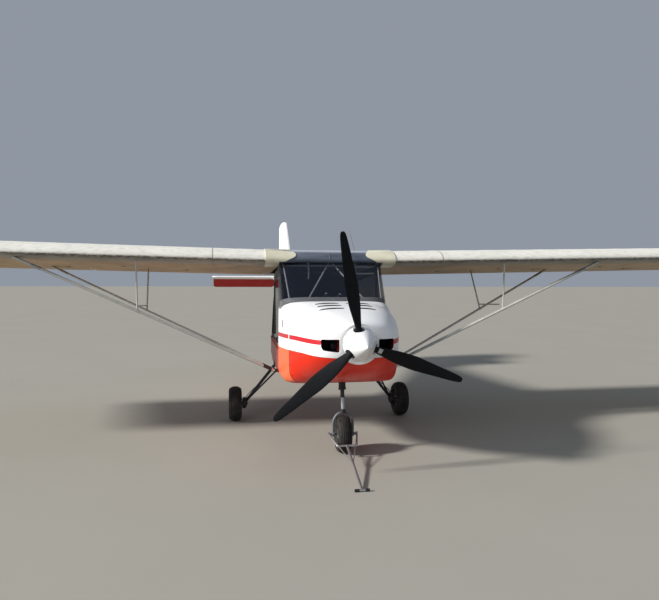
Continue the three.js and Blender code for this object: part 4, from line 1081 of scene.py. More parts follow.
def door_slab(outer, inner, low):
    stations, halves = np.array(nose_rows)[:, :2].T
    rings = []
    for y in np.linspace(door_front, door_rear, 13):
        plane = door_plane(y)
        side = max(float(np.interp(y, stations, halves)), plane)
        profile = [(plane, door_top(y)), (plane, 0.908), (side, 0.858), (side, low)]
        inside = [(side, low), (side, 0.850), (plane, 0.900), (plane, door_top(y))]
        rings.append([(x - outer, y, z) for x, z in profile] + [(x - inner, y, z) for x, z in inside])
    return loft(rings)


def pane_prism(margin, radius):
    front, rear = door_front + door_rail + margin, door_rear - door_rail - margin
    low = pane_low + margin
    outline = [(front, low), (rear, low), (rear, door_top(rear) - door_rail - margin),
               (front, door_top(front) - door_rail - margin)]
    return prism("x", corner_rounded(outline, radius, 6), 0.3, 0.6)


door_hinges = [1.560, 2.240]
knuckle = {"frame": 0.009, "door": 0.007, "length": 0.038, "clearance": 0.002}


def on_axis(y):
    return (door_plane(y), y, door_top(y))


def doors():
    long, clear_by = knuckle["length"], knuckle["clearance"]
    slab = cut(door_slab(0, door_depth, sill_height + 0.008), pane_prism(0, 0.05))
    slab = rounded(slab, 0.003, 2, 50)
    slab = fuse(slab, *[tube([on_axis(y + seat_gap), on_axis(y + long)], knuckle["door"], 20)
                        for y in door_hinges])
    slab = cut(slab, *[tube([on_axis(y - long - clear_by), on_axis(y + seat_gap)],
                            knuckle["frame"] + clear_by, 20) for y in door_hinges])
    both_sides(slab, "door_shell", door_skin, "door_{side}", body="door_{side}")
    glass = keep(door_slab(0.009, 0.014, sill_height + 0.008), pane_prism(seat_gap, 0.05))
    both_sides(glass, "door_pane", clear, "door_glass_{side}", body="door_{side}")
    outside = np.interp(2.089, [2.000, 2.440], [0.503, 0.488])
    lever = tube(curve([(outside - 0.002, 2.040, 0.880), (outside + 0.010, 2.048, 0.880),
                        (outside + 0.013, 2.075, 0.877), (outside + 0.013, 2.140, 0.868),
                        (outside + 0.010, 2.152, 0.866)], 5), 0.005, 12)
    boss = turned([(0, 0), (0.016, 0), (0.015, 0.004), (0, 0.005)], 24, "x", (outside - 0.001, 2.040, 0.880))
    both_sides(join([lever, boss]), "door_handle", dark_trim, body="door_{side}")


# Rear fuselage and tail
def rear_fuselage():
    shell = cut(body(tail_rows), body(tail_rows, 0.016, -0.02, -0.016))
    dress(shell, "rear_skin", body_skin, ["rear_fuselage"], slot="tail_fabric")


def tailplane():
    rear = elevator_hinge[0] - elevator_radius - hinge_gap
    section = lambda chord, thick: [(0, 0), (0.012, 0.28 * thick), (0.055, 0.46 * thick),
                                    (chord * 0.45, 0.5 * thick), (chord, 0.38 * thick),
                                    (chord, -0.38 * thick), (chord * 0.45, -0.5 * thick),
                                    (0.055, -0.46 * thick), (0.012, -0.28 * thick)]
    # Columns: distance in from the tip, cut of the leading edge, thickness share.
    tips = [(0, 0.060, 0.7), (0.022, 0.024, 0.9), (0.070, 0, 1)]
    ends = [graded_at(tips, d, 0, 1, 2) for d in np.linspace(0, 0.07, 7)]
    first = [(-tail_half_span + d, c, t) for d, c, t in ends]
    last = [(tail_half_span - d, c, t) for d, c, t in ends[::-1]]
    middle = [(x, 0, 1 - sag(x, 0.05)) for x in np.linspace(-tail_half_span + 0.08,
                                                            tail_half_span - 0.08, 60)]
    rings = []
    for x, back, thin in first + middle + last:
        lead = tail_lead + back
        outline = curve([(y, z) for y, z in section(rear - lead, 0.032 * thin)][:5], 4)
        lower = [(y, -z) for y, z in outline[::-1]][:-1]
        rings.append([(x, lead + y, tail_height + z) for y, z in [*outline, *lower]])
    piece = loft(rings)
    piece = fuse(piece, *[hinge_tongue(x, rear, *elevator_hinge) for h in elevator_hinges for x in (h, -h)])
    piece = cut(piece, clear_of_tail(),
                prism("z", [(-0.262, 4.80), (0.262, 4.80), (0.225, 4.99), (-0.225, 4.99)], 1.4, 1.6))
    dress(piece, "tailplane_skin", tail_white, ["tailplane"])


def stabiliser_fillets():
    """White fillets where the stabiliser's leading edge dips into the fuselage side."""
    rings = []
    for x, y, z, long in ((0.080, 4.790, 1.400, 0.220), (0.130, 4.802, 1.404, 0.210),
                          (0.180, 4.830, 1.424, 0.190), (0.220, 4.860, 1.452, 0.170),
                          (0.250, 4.885, 1.480, 0.160), (0.275, 4.893, 1.4995, 0.150)):
        turns = 2 * math.pi * np.arange(24) / 24
        rings.append([(x, y + long * (1 - math.cos(a)) / 2, z + 0.017 * math.sin(a)) for a in turns])
    fillet = cut(loft(rings), clear_of_tail())
    both_sides(fillet, "stabiliser_fillet", tail_white)


def elevator():
    chord = 0.375
    outline = surface_outline(chord, elevator_radius, 0)
    halves = []
    for side in (1, -1):
        plan = [(0.100, -0.030), (tail_half_span, -0.030), (tail_half_span, chord - 0.050),
                (tail_half_span - 0.050, chord + 0.005), (0.215, chord + 0.005), (0.100, 0.060)]
        half = ribbed_surface(outline, side * 0.098, side * (tail_half_span + 0.002), 0.08)
        plan = corner_rounded([(side * x, y) for x, y in plan], 0.03)
        halves.append(keep(half, prism("z", plan, -0.06, 0.06)))
    piece = fuse(halves[0], halves[1], tube([(-0.14, 0, 0), (0.14, 0, 0)], 0.010, 24))
    piece = cut(piece, *[hinge_slot(x, elevator_radius) for h in elevator_hinges for x in (h, -h)])
    dress(placed(piece, moved((0, *elevator_hinge), elevator_rest)), "elevator_skin", tail_red, ["elevator"],
          body="elevator")


rudder = {"y": 5.530, "chord": 0.415, "low": 1.300, "high": 2.400}


def fin_and_rudder():
    rear = rudder["y"] - rudder_radius - hinge_gap
    outline = [(4.520, 1.460), (rear, 1.460), (rear, 2.398), (5.470, 2.380), (4.983, 1.930)]
    thickness = [(4.300, 0.001), (4.540, 0.013), (5.100, 0.018), (rear + 0.001, 0.016)]
    flank = [tuple(p) for p in curve(thickness, 6)]
    section = [(x, y) for y, x in flank] + [(-x, y) for y, x in flank[::-1]]
    standing = keep(prism("x", corner_rounded(outline, 0.03), -0.04, 0.04),
                    prism("z", section, 1.4, 2.5))
    standing = rounded(standing, 0.006, 3, 50)
    notch = lambda front, rear, high: block(-0.06, 0.06, front, rear, 1.4, tail_height + high)
    standing = cut(standing, notch(tail_lead - 0.008, elevator_hinge[0] - 0.010, 0.0166),
                   notch(elevator_hinge[0] - 0.06, 5.6, 0.02), clear_of_tail())
    upright = Matrix.Rotation(-math.pi / 2, 4, "Y")
    standing = fuse(standing, *[placed(hinge_tongue(z, rear, rudder["y"], 0), upright)
                                for z in rudder_hinges])
    dress(standing, "fin_skin", tail_white, ["fin"])
    chord, low, high = rudder["chord"], rudder["low"], rudder["high"]
    plan = [(-0.020, low), (chord - 0.150, low - 0.006), (chord - 0.004, low + 0.090),
            (chord - 0.004, high - 0.072), (chord - 0.090, high - 0.022), (0.170, high + 0.006),
            (-0.020, high)]
    blade = placed(ribbed_surface(surface_outline(chord, rudder_radius, 0), low - 0.04, high + 0.04, 0.08),
                   upright)
    blade = keep(blade, prism("x", corner_rounded(plan, 0.05), -0.04, 0.04))
    blade = cut(blade, *[placed(hinge_slot(z, rudder_radius), upright) for z in rudder_hinges])
    dress(placed(blade, moved((0, rudder["y"], 0), rudder_rest, "Z")), "rudder_skin", tail_white, ["rudder"],
          body="rudder")


# Propeller and engine
blade_phase = math.radians(-10.05)
spinner = {"radius": 0.136, "back": 0.038, "tip": -0.212, "wall": 0.003, "hole": 0.044}
hub = {"radius": 0.058, "shaft": 0.034, "end": 0.1697, "plate": (0.028, 0.034)}
# Columns: radius, chord, thickness, pitch in degrees.
blade_rows = [
    (0.0585, 0.050, 0.050, 34), (0.108, 0.050, 0.050, 34), (0.150, 0.066, 0.032, 33),
    (0.220, 0.090, 0.022, 30), (0.310, 0.114, 0.017, 26), (0.440, 0.123, 0.013, 22),
    (0.540, 0.108, 0.011, 19), (0.640, 0.090, 0.010, 17), (0.740, 0.075, 0.008, 15),
    (0.815, 0.060, 0.007, 14), (0.850, 0.045, 0.006, 13), (0.866, 0.026, 0.005, 13),
]


def on_shaft(piece, blade=0, turn=0.0):
    """Swings a piece made along +Z from the shaft to the place of one blade."""
    angle = blade_phase + math.radians(120 * blade) + turn
    return placed(piece, Matrix.Translation((0, 0, shaft_height)) @ Matrix.Rotation(angle, 4, "Y"))


def blade_section(radius, grown=0.0, count=36):
    chord, thick, pitch = graded_at(blade_rows, radius, 1, 2, 3)
    angle = math.radians(pitch)
    turns = 2 * math.pi * np.arange(count) / count
    flat = np.clip((radius - 0.12) / 0.1, 0, 1)
    u = np.cos(turns) * (chord / 2 + grown)
    v = np.sin(turns) * (thick / 2 + grown) * (1 - 0.22 * flat * (1 + np.cos(turns)) / 2)
    across, deep = u * math.cos(angle) - v * math.sin(angle), u * math.sin(angle) + v * math.cos(angle)
    return np.column_stack([across, deep, np.full(count, radius)])


def propeller():
    radii = np.concatenate([np.linspace(0.0585, 0.80, 44), np.linspace(0.812, 0.866, 9)])
    for i in range(3):
        blade = on_shaft(loft([blade_section(r) for r in radii]), i)
        dress(blade, f"blade_{i + 1}", blade_paint, [f"propeller_blade_{i + 1}"], body="propeller", sharp=60)
        clamp = turned([(0.0262, 0.061), (0.034, 0.063), (0.034, 0.092), (0.029, 0.098), (0.0262, 0.098)], 40)
        ears = [block(x, x + 0.014, -0.007, 0.007, 0.068, 0.088) for x in (-0.044, 0.030)]
        clamp = fuse(clamp, *ears)
        dress(on_shaft(clamp, i), f"blade_clamp_{i + 1}", silver, body="propeller")
    tape = loft([blade_section(r, 0.0006) for r in np.linspace(0.140, 0.172, 6)])
    tape = keep(tape, block(-0.020, 0.018, -0.06, 0.0, 0.13, 0.18))
    dress(on_shaft(tape, 1), "balance_tape", silver, body="propeller")

    shares = np.sin(np.linspace(0, math.pi / 2, 40))
    shell = lambda radius, reach: [(radius * (1 - s) ** 0.8, spinner["back"] - reach * s)
                                   for s in shares[:-1]]
    length = spinner["back"] - spinner["tip"]
    profile = shell(spinner["radius"], length) + [(0, spinner["tip"]), (0, spinner["tip"] + spinner["wall"])]
    profile += shell(spinner["radius"] - spinner["wall"], length - spinner["wall"])[::-1]
    cone = turned(profile, 96, "y", (0, 0, shaft_height))
    cone = cut(cone, *[on_shaft(tube([(0, 0, 0.05), (0, 0, 0.3)], spinner["hole"], 48), i) for i in range(3)])
    dress(cone, "spinner_skin", spinner_white, ["spinner"], body="propeller", sharp=50)
    screws = []
    for k in range(12):
        head = turned([(0, 0), (0.005, 0), (0.0045, 0.0012), (0, 0.0016)], 14, "z", (0, 0.028, 0.1351))
        screws.append(on_shaft(head, 0, math.radians(30 * k + 15)))
    dress(join(screws), "spinner_screws", silver, body="propeller")

    front, (plate_front, plate_rear) = hub_front, hub["plate"]
    disc = spinner["radius"] - spinner["wall"] - 0.0048
    core = turned([(0, front), (hub["radius"] - 0.004, front), (hub["radius"], front + 0.004),
                   (hub["radius"], plate_front - 0.002), (disc, plate_front), (disc, plate_rear),
                   (hub["shaft"], plate_rear), (hub["shaft"], hub["end"]), (0, hub["end"])],
                  72, "y", (0, 0, shaft_height))
    dress(core, "hub_core", alloy, ["propeller_hub"], body="propeller")


def engine():
    """A flat four with finned cylinders, on its four tubes from the firewall."""
    parts = [block(-0.075, 0.075, 0.215, 0.545, 0.880, 1.085), block(-0.060, 0.060, 0.172, 0.214, 0.93, 1.10),
             block(-0.050, 0.050, 0.260, 0.500, 1.086, 1.126)]
    parts = [rounded(part, 0.008, 2) for part in parts]
    for side in (1, -1):
        for y in (0.300, 0.450):
            fins = [(0, 0), (0.042, 0)]
            for k in range(8):
                x = 0.006 + 0.011 * k
                fins += [(0.042, x), (0.056, x + 0.001), (0.056, x + 0.004), (0.042, x + 0.005)]
            fins += [(0.040, 0.098), (0.034, 0.112), (0, 0.112)]
            parts.append(turned([(r, side * (0.077 + h)) for r, h in fins], 28, "x", (0, y, 0.985)))
        for z in (0.900, 1.090):
            parts.append(tube([(side * 0.150, 0.530, z), (side * 0.150, firewall_y - seat_gap, z)],
                              0.013, 20))
        parts.append(block(*sorted((side * 0.095, side * 0.188)), 0.5145, 0.528, 0.874, 1.116))
        pipe = curve([(side * 0.15, 0.30, 0.925), (side * 0.15, 0.31, 0.885), (side * 0.13, 0.40, 0.880),
                      (side * 0.11, 0.50, 0.880)], 6)
        parts.append(tube(pipe, 0.014, 18))
    dress(join(parts), "engine", engine_metal, ["engine_block"])


# Cabin frame: posts, roof rails, cross tubes and the thin tubes behind the windscreen
post = {"outer": 0.002, "inner": 0.026}
screen_tubes = {"apex": (0, 1.362, 1.692), "foot": (0.290, 0.986, 1.290), "radius": 0.007}
corner_post = {"line": [(0.428, 1.012, 1.290), (0.458, 1.262, 1.590), (0.470, 1.364, 1.688)],
               "radius": 0.0065}


def cabin_frame():
    rear_of_post = front_post[1] + door_stop + post_width
    wide = lambda at, side: sorted((side * (at - post["inner"]), side * (at - post["outer"])))
    bars, thin = [], []
    for side in (1, -1):
        fx, rx = wide(front_post[0], side), wide(rear_post[0], side)
        low = front_post[1] + door_stop + 0.0005
        bars.append(rounded(block(*fx, low, rear_of_post, sill_height + seat_gap, 1.600), 0.004))
        bars.append(rounded(block(*fx, front_post[1], rear_of_post, 1.274, 1.704), 0.004))
        rear_low = rear_post[1] - post_width
        bars.append(rounded(block(*rx, rear_low, rear_post[1], sill_height + seat_gap, 1.540), 0.004))
        rail = loft([[(x0, y, z0), (x1, y, z0), (x1, y, z1), (x0, y, z1)] for y, z0, z1, (x0, x1)
                     in ((front_post[1], 1.622, 1.690, fx), (rear_post[1], 1.496, 1.580, rx))])
        bars.append(rounded(cut(rail, centre_form(roof_gap)), 0.003))
        foot = Vector(screen_tubes["foot"])
        foot.x *= side
        thin.append(tube([screen_tubes["apex"], foot], screen_tubes["radius"], 20))
        path = curve([(side * x, y, z) for x, y, z in corner_post["line"]], 6)
        corner = keep(tube(path, corner_post["radius"], 16), screen(pane_inside))
        thin.append(cut(corner, clear_of_cabin(nose_rows[6:11])))
    ends = ((front_post[0] - 0.014, 1.364, 1.688, 0.013), (rear_post[0] - 0.014, 2.428, 1.516, 0.011),
            (rear_post[0] - 0.014, 2.428, 0.850, 0.011))
    bars += [tube([(-x, y, z), (x, y, z)], radius, 20) for x, y, z, radius in ends]
    whole = fuse(bars[0], *bars[1:])
    long, spare = knuckle["length"], knuckle["clearance"]
    for side in (1, -1):
        at = lambda y: (side * door_plane(y), y, door_top(y))
        for y in door_hinges:
            whole = cut(whole, tube([at(y), at(y + long + spare)], knuckle["door"] + spare, 20))
            whole = fuse(whole, tube([at(y - long), at(y)], knuckle["frame"], 20))
    whole = cut(whole, panel_form(0.0004), body(tail_rows, -0.0002))
    dress(whole, "cabin_frame_tubes", frame_grey, ["cabin_frame"])
    thin = [cut(part, tube([(-0.489, 1.364, 1.688), (0.489, 1.364, 1.688)], 0.0132, 20)) for part in thin]
    dress(join(thin), "screen_braces", tube_light, ["cabin_frame"])


# Interior
panel_outline = [(0.968, 1.240), (0.976, 1.284), (1.010, 1.288), (1.130, 1.262), (1.196, 1.222),
                 (1.196, 1.010), (1.172, 1.010), (1.172, 1.196), (1.110, 1.232)]


def cabin_space():
    return body(inset=cabin_wall + seat_gap, rear=0.06)


def panel_form(grown=0.0):
    form = keep(prism("x", panel_outline, -0.6, 0.6), cabin_space(), screen(0.008))
    return placed(form, moved((0, 0, grown)))


def instrument_panel():
    """The panel with its glare shield, and plain round dials with a needle and ticks."""
    shield = panel_form()
    dress(shield, "panel_shield", dark_trim, ["instrument_panel"])
    crest = [(0.995, 1.2885), (1.020, 1.316), (1.060, 1.338), (1.110, 1.344), (1.150, 1.338), (1.176, 1.318),
             (1.190, 1.290), (1.190, 1.232), (1.130, 1.2645), (1.010, 1.2905)]
    half, (middle_y, low_z), rings = 0.34, (1.09, 1.262), []
    for x in np.linspace(-half, half, 25):
        narrow, flat = 1 - 0.25 * abs(x / half) ** 4, 1 - 0.55 * abs(x / half) ** 2.5
        rings.append([(x, middle_y + (y - middle_y) * narrow, low_z + (z - low_z) * flat) for y, z in crest])
    hood = cut(keep(loft(rings), screen(0.012)), panel_form(0.0003))
    dress(hood, "panel_hood", shield_grey)
    rear, bezels, faces, marks = 1.196, [], [], []
    places = [(-0.33, 1.150, 0.040), (-0.235, 1.150, 0.040), (-0.14, 1.150, 0.040), (-0.33, 1.062, 0.032),
              (-0.25, 1.062, 0.032), (-0.17, 1.062, 0.032), (0.02, 1.150, 0.029), (0.09, 1.150, 0.029),
              (0.02, 1.080, 0.029), (0.09, 1.080, 0.029)]
    for k, (x, z, r) in enumerate(places):
        place = (x, rear, z)
        bezels.append(turned([(r * 0.84, 0), (r, 0), (r, 0.005), (r * 0.96, 0.008), (r * 0.84, 0.008)], 36,
                             "y", place))
        faces.append(turned([(0, 0), (r * 0.83, 0), (r * 0.83, 0.003), (0, 0.003)], 36, "y", place))
        for step in range(12):
            tick = block(-0.0008, 0.0008, 0.003, 0.0036, r * 0.66, r * 0.78)
            marks.append(placed(tick, moved(place, 30 * step, "Y")))
        needle = block(-0.0012, 0.0012, 0.0042, 0.005, -r * 0.15, r * 0.62)
        marks.append(placed(needle, moved(place, 37 * k + 20, "Y")))
    knob = [(0, 0), (0.004, 0), (0.004, 0.018), (0.011, 0.020), (0.011, 0.030), (0, 0.032)]
    knobs = [turned(knob, 20, "y", (x, rear, z))
             for x, z in ((0.19, 1.16), (0.24, 1.16), (0.29, 1.16), (0.34, 1.16), (0.02, 1.03), (0.07, 1.03))]
    for x in np.linspace(0.19, 0.34, 6):
        knobs.append(rounded(block(x - 0.004, x + 0.004, rear, rear + 0.012, 1.075, 1.095), 0.002))
    dress(join(bezels), "dial_bezels", steel)
    dress(join(faces), "dial_faces", dial_black)
    dress(join(marks), "dial_marks", spinner_white)
    dress(join(knobs), "panel_knobs", dark_trim)
    pods = [rounded(block(-0.095, -0.045, 1.085, 1.135, 1.338, 1.380), 0.012, 3),
            rounded(block(0.030, 0.080, 1.085, 1.130, 1.338, 1.374), 0.012, 3)]
    dress(join(pods), "shield_pods", dark_trim)
    # The pods' caps are near-white as a painted highlight of the sun on their tops
    highlight_caps = [turned([(0, 0), (0.011, 0), (0.010, 0.005), (0, 0.008)], 20, "z", (x, y, z))
             for x, y, z in ((-0.080, 1.105, 1.380), (0.050, 1.102, 1.374))]
    dress(join(highlight_caps), "shield_pod_caps", tube_light)


def cabin_details():
    """A strap, the port visor's rods, the bulkhead behind the seats, the V's bracket and lap belts."""
    strap = prism("y", [(-0.222, 1.512), (-0.210, 1.506), (-0.205, 1.600), (-0.212, 1.676), (-0.226, 1.676),
                        (-0.219, 1.600)], 1.350, 1.353)
    dress(strap, "strap", spinner_white)
    visor = [tube(curve([(0.245, 1.366, 1.676), (0.250, 1.350, 1.640), (0.330, 1.345, 1.632),
                         (0.430, 1.350, 1.636), (0.455, 1.364, 1.655)], 6), 0.008, 14),
             tube([(0.262, 1.352, 1.566), (0.440, 1.352, 1.568)], 0.009, 14),
             tube(curve([(0.262, 1.352, 1.566), (0.256, 1.350, 1.600), (0.252, 1.350, 1.640)], 6), 0.004, 12)]
    dress(join(visor), "visor_rods", tube_light)
    half = 0.425
    sheet_form = corner_rounded([(-half, 0.640), (half, 0.640), (half, 1.560), (-half, 1.560)], 0.03)
    room = fuse(body(inset=cabin_wall + 0.001, rear=0.06), block(-half, half, 2.3, 2.5, 1.0, 1.6))
    bulkhead = cut(keep(prism("y", sheet_form, 2.398, 2.403), room), centre_form(0.0012))
    dress(bulkhead, "rear_bulkhead", dark_trim)
    bracket = keep(cut(centre_form(0.004), centre_form(0.0005)),
                   prism("y", [(-0.026, 1.705), (-0.018, 1.705), (-0.014, 1.735), (-0.022, 1.770),
                               (-0.032, 1.770), (-0.024, 1.735)], 1.1, 1.36))
    dress(bracket, "apex_bracket", alloy)
    belts = []
    for x in (0.070, 0.382):
        low, high = x - 0.024, x + 0.024
        belts.append(loft([[(low, y, z), (high, y, z), (high, y, z + 0.0022), (low, y, z + 0.0022)]
                           for y, z in ((2.120, 0.782), (2.060, 0.806), (1.960, 0.816), (1.900, 0.812))]))
    both_sides(join(belts), "lap_belts", dark_trim, slot="seat_fabric")


# Seats: a shell on the floor with a crowned cushion and back pad, both swelled as cloth
def swelled(piece, cap, voxel=0.012):
    """A pad blown up a little as cloth, with no point moved further than cap."""
    grid = piece.modifiers.new("grid", "REMESH")
    grid.mode, grid.voxel_size = "VOXEL", voxel
    bake_modifiers(piece)
    start = np.array([v.co for v in piece.data.vertices])
    cloth_step = piece.modifiers.new("cloth", "CLOTH")
    settings = cloth_step.settings
    settings.use_pressure, settings.uniform_pressure_force = True, 4
    settings.effector_weights.gravity = 0
    for frame_number in range(1, 16):
        bpy.context.scene.frame_set(frame_number)
    bake_modifiers(piece)
    bpy.context.scene.frame_set(1)
    end = np.array([v.co for v in piece.data.vertices])
    step = end - start
    size = np.linalg.norm(step, axis=1)
    step *= np.minimum(1, cap / np.maximum(size, 1e-9))[:, None]
    piece.data.vertices.foreach_set("co", (start + step).ravel())
    return piece


def pad(long, broad, thick, channels):
    """A crowned pad in the x-y plane whose sides pull in between its corners; channels run across it."""
    nx, ny = 30, 34

    def point(layer, i, j):
        u, v = 2 * i / nx - 1, 2 * j / ny - 1
        pull_x = 1 - 0.030 * (1 - v * v) * abs(u) ** 3
        pull_y = 1 - 0.025 * (1 - u * u) * abs(v) ** 3
        edge = max((1 - abs(u) ** 6) * (1 - abs(v) ** 6), 0)
        y = v * pull_y * long / 2
        if layer:
            height = -thick * (0.5 + 0.5 * edge ** 0.5 * 0.1) / 1.4
        else:
            height = thick * (0.5 + 0.5 * edge ** 0.5)
            height -= 0.008 * sum(math.exp(-((y - c) / 0.006) ** 2) for c in channels) * edge
        return u * pull_x * broad / 2, y, height

    return closed(*grid_shell(nx, ny, point))


seat_middle_x = 0.226


def seats():
    base = prism("x", [(1.648, 0.604), (1.648, 0.690), (2.070, 0.672), (2.168, 0.700), (2.290, 1.236),
                       (2.318, 1.240), (2.218, 0.690), (2.165, 0.604)], 0.028, 0.424)
    base = keep(rounded(base, 0.006, 3), cabin_space())
    both_sides(base, "seat_shell", dark_trim, "seat_{side}")
    # Columns: name, length, breadth, thickness, channels, y and z of the middle, tilt in degrees.
    pads = [("cushion", 0.430, 0.396, 0.062, (-0.105, 0.0, 0.105), (1.858, 0.716), -4.8),
            ("back", 0.520, 0.390, 0.052, (-0.15, -0.05, 0.05, 0.15), (2.196, 1.010), 76.5)]
    for name, long, broad, thick, channels, middle, tilt in pads:
        place = moved((seat_middle_x, *middle), tilt)
        piece = swelled(pad(long, broad, thick, channels), 0.009)
        smooth = piece.modifiers.new("smooth", "SMOOTH")
        smooth.factor, smooth.iterations = 0.4, 2
        bake_modifiers(piece)
        for one in both_sides(placed(piece, place), f"seat_{name}", cloth):
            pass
        rim = curve([(sx * broad * 0.485, sy * long * 0.487, -0.003) for sx, sy in
                     ((-1, -0.9), (-0.93, -1), (0, -0.985), (0.93, -1), (1, -0.9), (0.985, 0), (1, 0.9),
                      (0.93, 1), (0, 0.985), (-0.93, 1), (-1, 0.9), (-0.985, 0))], 5)
        piping = placed(tube(rim, 0.0045, 10), place)
        both_sides(piping, f"seat_{name}_piping", dark_trim, slot="seat_fabric")


def control_stick():
    rod = tube(curve([(0, 1.562, 0.604), (0, 1.570, 0.70), (0, 1.590, 0.85), (0, 1.600, 0.960)], 8),
               0.010, 24)
    dress(rod, "stick", steel, ["control_stick"])
    grip = [(0.010, 0.0), (0.017, 0.003), (0.0175, 0.02), (0.0155, 0.035), (0.0172, 0.050), (0.0155, 0.065),
            (0.0172, 0.080), (0.0165, 0.098), (0.014, 0.110), (0.008, 0.116), (0, 0.117)]
    grip = turned([(0, 0.0)] + grip, 32)
    grip = placed(grip, moved((0, 1.598, 0.943), -6.7))
    dress(grip, "stick_grip", dark_trim)
    folds = [(0.058 - 0.006 * k + (0.004 if k % 2 else 0), 0.604 + 0.008 * k) for k in range(8)]
    boot = turned([(0, 0.604)] + folds + [(0.0105, 0.668), (0, 0.668)], 40, "z", (0, 1.566, 0.0025))
    dress(boot, "stick_boot", dark_trim, slot="seat_fabric", sharp=50)


def whip_antenna():
    foot = (0.390, 2.000)
    base = turned([(0, 1.742), (0.014, 1.742), (0.014, 1.768), (0.009, 1.786), (0.0045, 1.790),
                   (0.0035, 1.800), (0, 1.800)], 32, "z", (*foot, 0))
    base = cut(base, centre_form(seat_gap))
    share = np.linspace(0, 1, 12)
    path = [(foot[0] - 0.060 * t, foot[1] + 0.020 * t, 1.786 + (2.030 - 1.786) * t) for t in share]
    rod = tube(path, [0.003 - 0.0012 * t for t in share], 16)
    whole = fuse(base, rod)
    dress(whole, "antenna", frame_grey, ["whip_antenna"], slot="panel_grey")


# Struts
strut_ends = {"front": ((0.545, 1.352, 0.628), (2.870, 1.352, 1.700), 0.015),
              "rear": ((0.545, 1.418, 0.628), (2.820, 2.225, 1.650), 0.012)}
jury_share = 0.545


def along_strut(name, share):
    foot, head, _ = strut_ends[name]
    return tuple(a + (b - a) * share for a, b in zip(foot, head))


def teardrop(start, end, radius, grown=0.0, wide=2.1, count=40):
    """A streamlined bar: blunt in front, drawn out behind, no wider than the oval it fills."""
    start, end = np.array(start), np.array(end)
    step = (end - start) / np.linalg.norm(end - start)
    side = np.array((0, 1.0, 0)) - step * step[1]
    side /= np.linalg.norm(side)
    other = np.cross(side, step)
    turns = 2 * math.pi * np.arange(count) / count
    u = np.cos(turns) * (radius * wide + grown)
    v = np.sin(turns) * (radius + grown) * (1 - 0.35 * (1 + np.cos(turns)) / 2)
    return loft([point + np.outer(u, side) + np.outer(v, other) for point in (start, end)])


def wing_blank():
    """The inner wing's plain form, a little lowered, to trim the struts against."""
    tip_x = 3.2
    rings = [np.column_stack([np.full(len(wing_section), x), wing_section]) for x in (0.0, tip_x)]
    return placed(loft(rings), Matrix.Translation((0, 0, -0.0005)) @ wing_frame)


def struts():
    for name in ("front", "rear"):
        foot, head, radius = strut_ends[name]
        bar = teardrop(foot, head, radius)
        higher = placed(wing_blank(), moved((0, 0, 0.02)))
        bar = cut(bar, wing_blank(), higher, clear_of_cabin())
        both_sides(bar, f"{name}_strut", strut_silver, name + "_lift_strut_{side}", sharp=50)
        cuff = teardrop(along_strut(name, 0.012), along_strut(name, 0.045), radius, 0.002)
        lug = tube([(foot[0] - 0.060, foot[1], foot[2] - 0.012), (foot[0] + 0.030, foot[1], foot[2] + 0.004)],
                   0.011, 20)
        lug = cut(lug, clear_of_cabin())
        bolt = turned([(0, -0.020), (0.009, -0.020), (0.009, -0.013), (0.006, -0.013), (0.006, 0.013),
                       (0.009, 0.013), (0.009, 0.020), (0, 0.020)], 6, "z", foot)
        both_sides(join([cuff, lug, bolt]), f"{name}_strut_foot", gun_steel)
        top = teardrop(along_strut(name, 0.90), along_strut(name, 0.935), radius, 0.0018)
        top = cut(top, wing_blank())
        both_sides(top, f"{name}_strut_cuff", alloy)
    front, rear = along_strut("front", jury_share), along_strut("rear", jury_share)
    wing_z = 1.760
    bars = [tube([front, (front[0] + 0.010, front[1], wing_z)], 0.008, 18),
            tube([rear, (rear[0] + 0.020, 2.220, wing_z - 0.080)], 0.008, 18),
            tube([(front[0], front[1], front[2] + 0.046),
                  (rear[0] + 0.004, rear[1] + 0.034, rear[2] + 0.046)],
                 0.007, 18)]
    whole = fuse(bars[0], *bars[1:])
    solids = [teardrop(*strut_ends[name], seat_gap) for name in ("front", "rear")]
    whole = cut(whole, wing_blank(), *solids)
    both_sides(whole, "jury_bars", strut_silver, "jury_struts_{side}")
    bands = [teardrop(along_strut(name, jury_share - 0.006), along_strut(name, jury_share + 0.006),
                      strut_ends[name][2], 0.002) for name in ("front", "rear")]
    both_sides(join(bands), "jury_clamps", strut_silver)


# Wheels and undercarriage
nose_wheel = {"x": 0.0, "y": 0.679, "radius": 0.164, "width": 0.118, "rim": 0.062, "axle": 0.009}
main_wheel = {"x": 0.904, "y": 1.977, "radius": 0.182, "width": 0.134, "rim": 0.078, "axle": 0.012}


def tyre_profile(wheel):
    half, radius, rim = wheel["width"] / 2, wheel["radius"], wheel["rim"]
    shoulder = radius - wheel["width"] * 0.32
    bead = half * 0.72
    crown = lambda w: shoulder + math.sqrt(max(0.0, 1 - (w / half) ** 2)) * (radius - shoulder)
    stops = [half * math.sin(math.radians(a)) for a in range(-90, 91, 6)]
    grooves = [half * share for share in (-0.62, -0.30, 0.0, 0.30, 0.62)]
    wide, deep = 0.0028, 0.0045
    line = [(crown(w), w) for w in stops if all(abs(w - g) > wide * 1.3 for g in grooves)]
    for g in grooves:
        line += [(crown(g - wide), g - wide), (crown(g) - deep, g - wide * 0.6),
                 (crown(g) - deep, g + wide * 0.6), (crown(g + wide), g + wide)]
    line.sort(key=lambda p: p[1])
    wall = []
    for share, width in ((0.80, 0.985), (0.60, 0.965), (0.52, 0.985), (0.46, 0.955), (0.25, 0.86),
                         (0.08, 0.76)):
        wall.append((rim + 0.006 + (shoulder - rim - 0.006) * share, half * width))
    flat = [(rim + 0.006, bead), (rim + seat_gap, bead - 0.006), (rim + seat_gap, 0.006 - bead),
            (rim + 0.006, -bead)]
    return line + wall + flat + [(r, -w) for r, w in wall[::-1]]


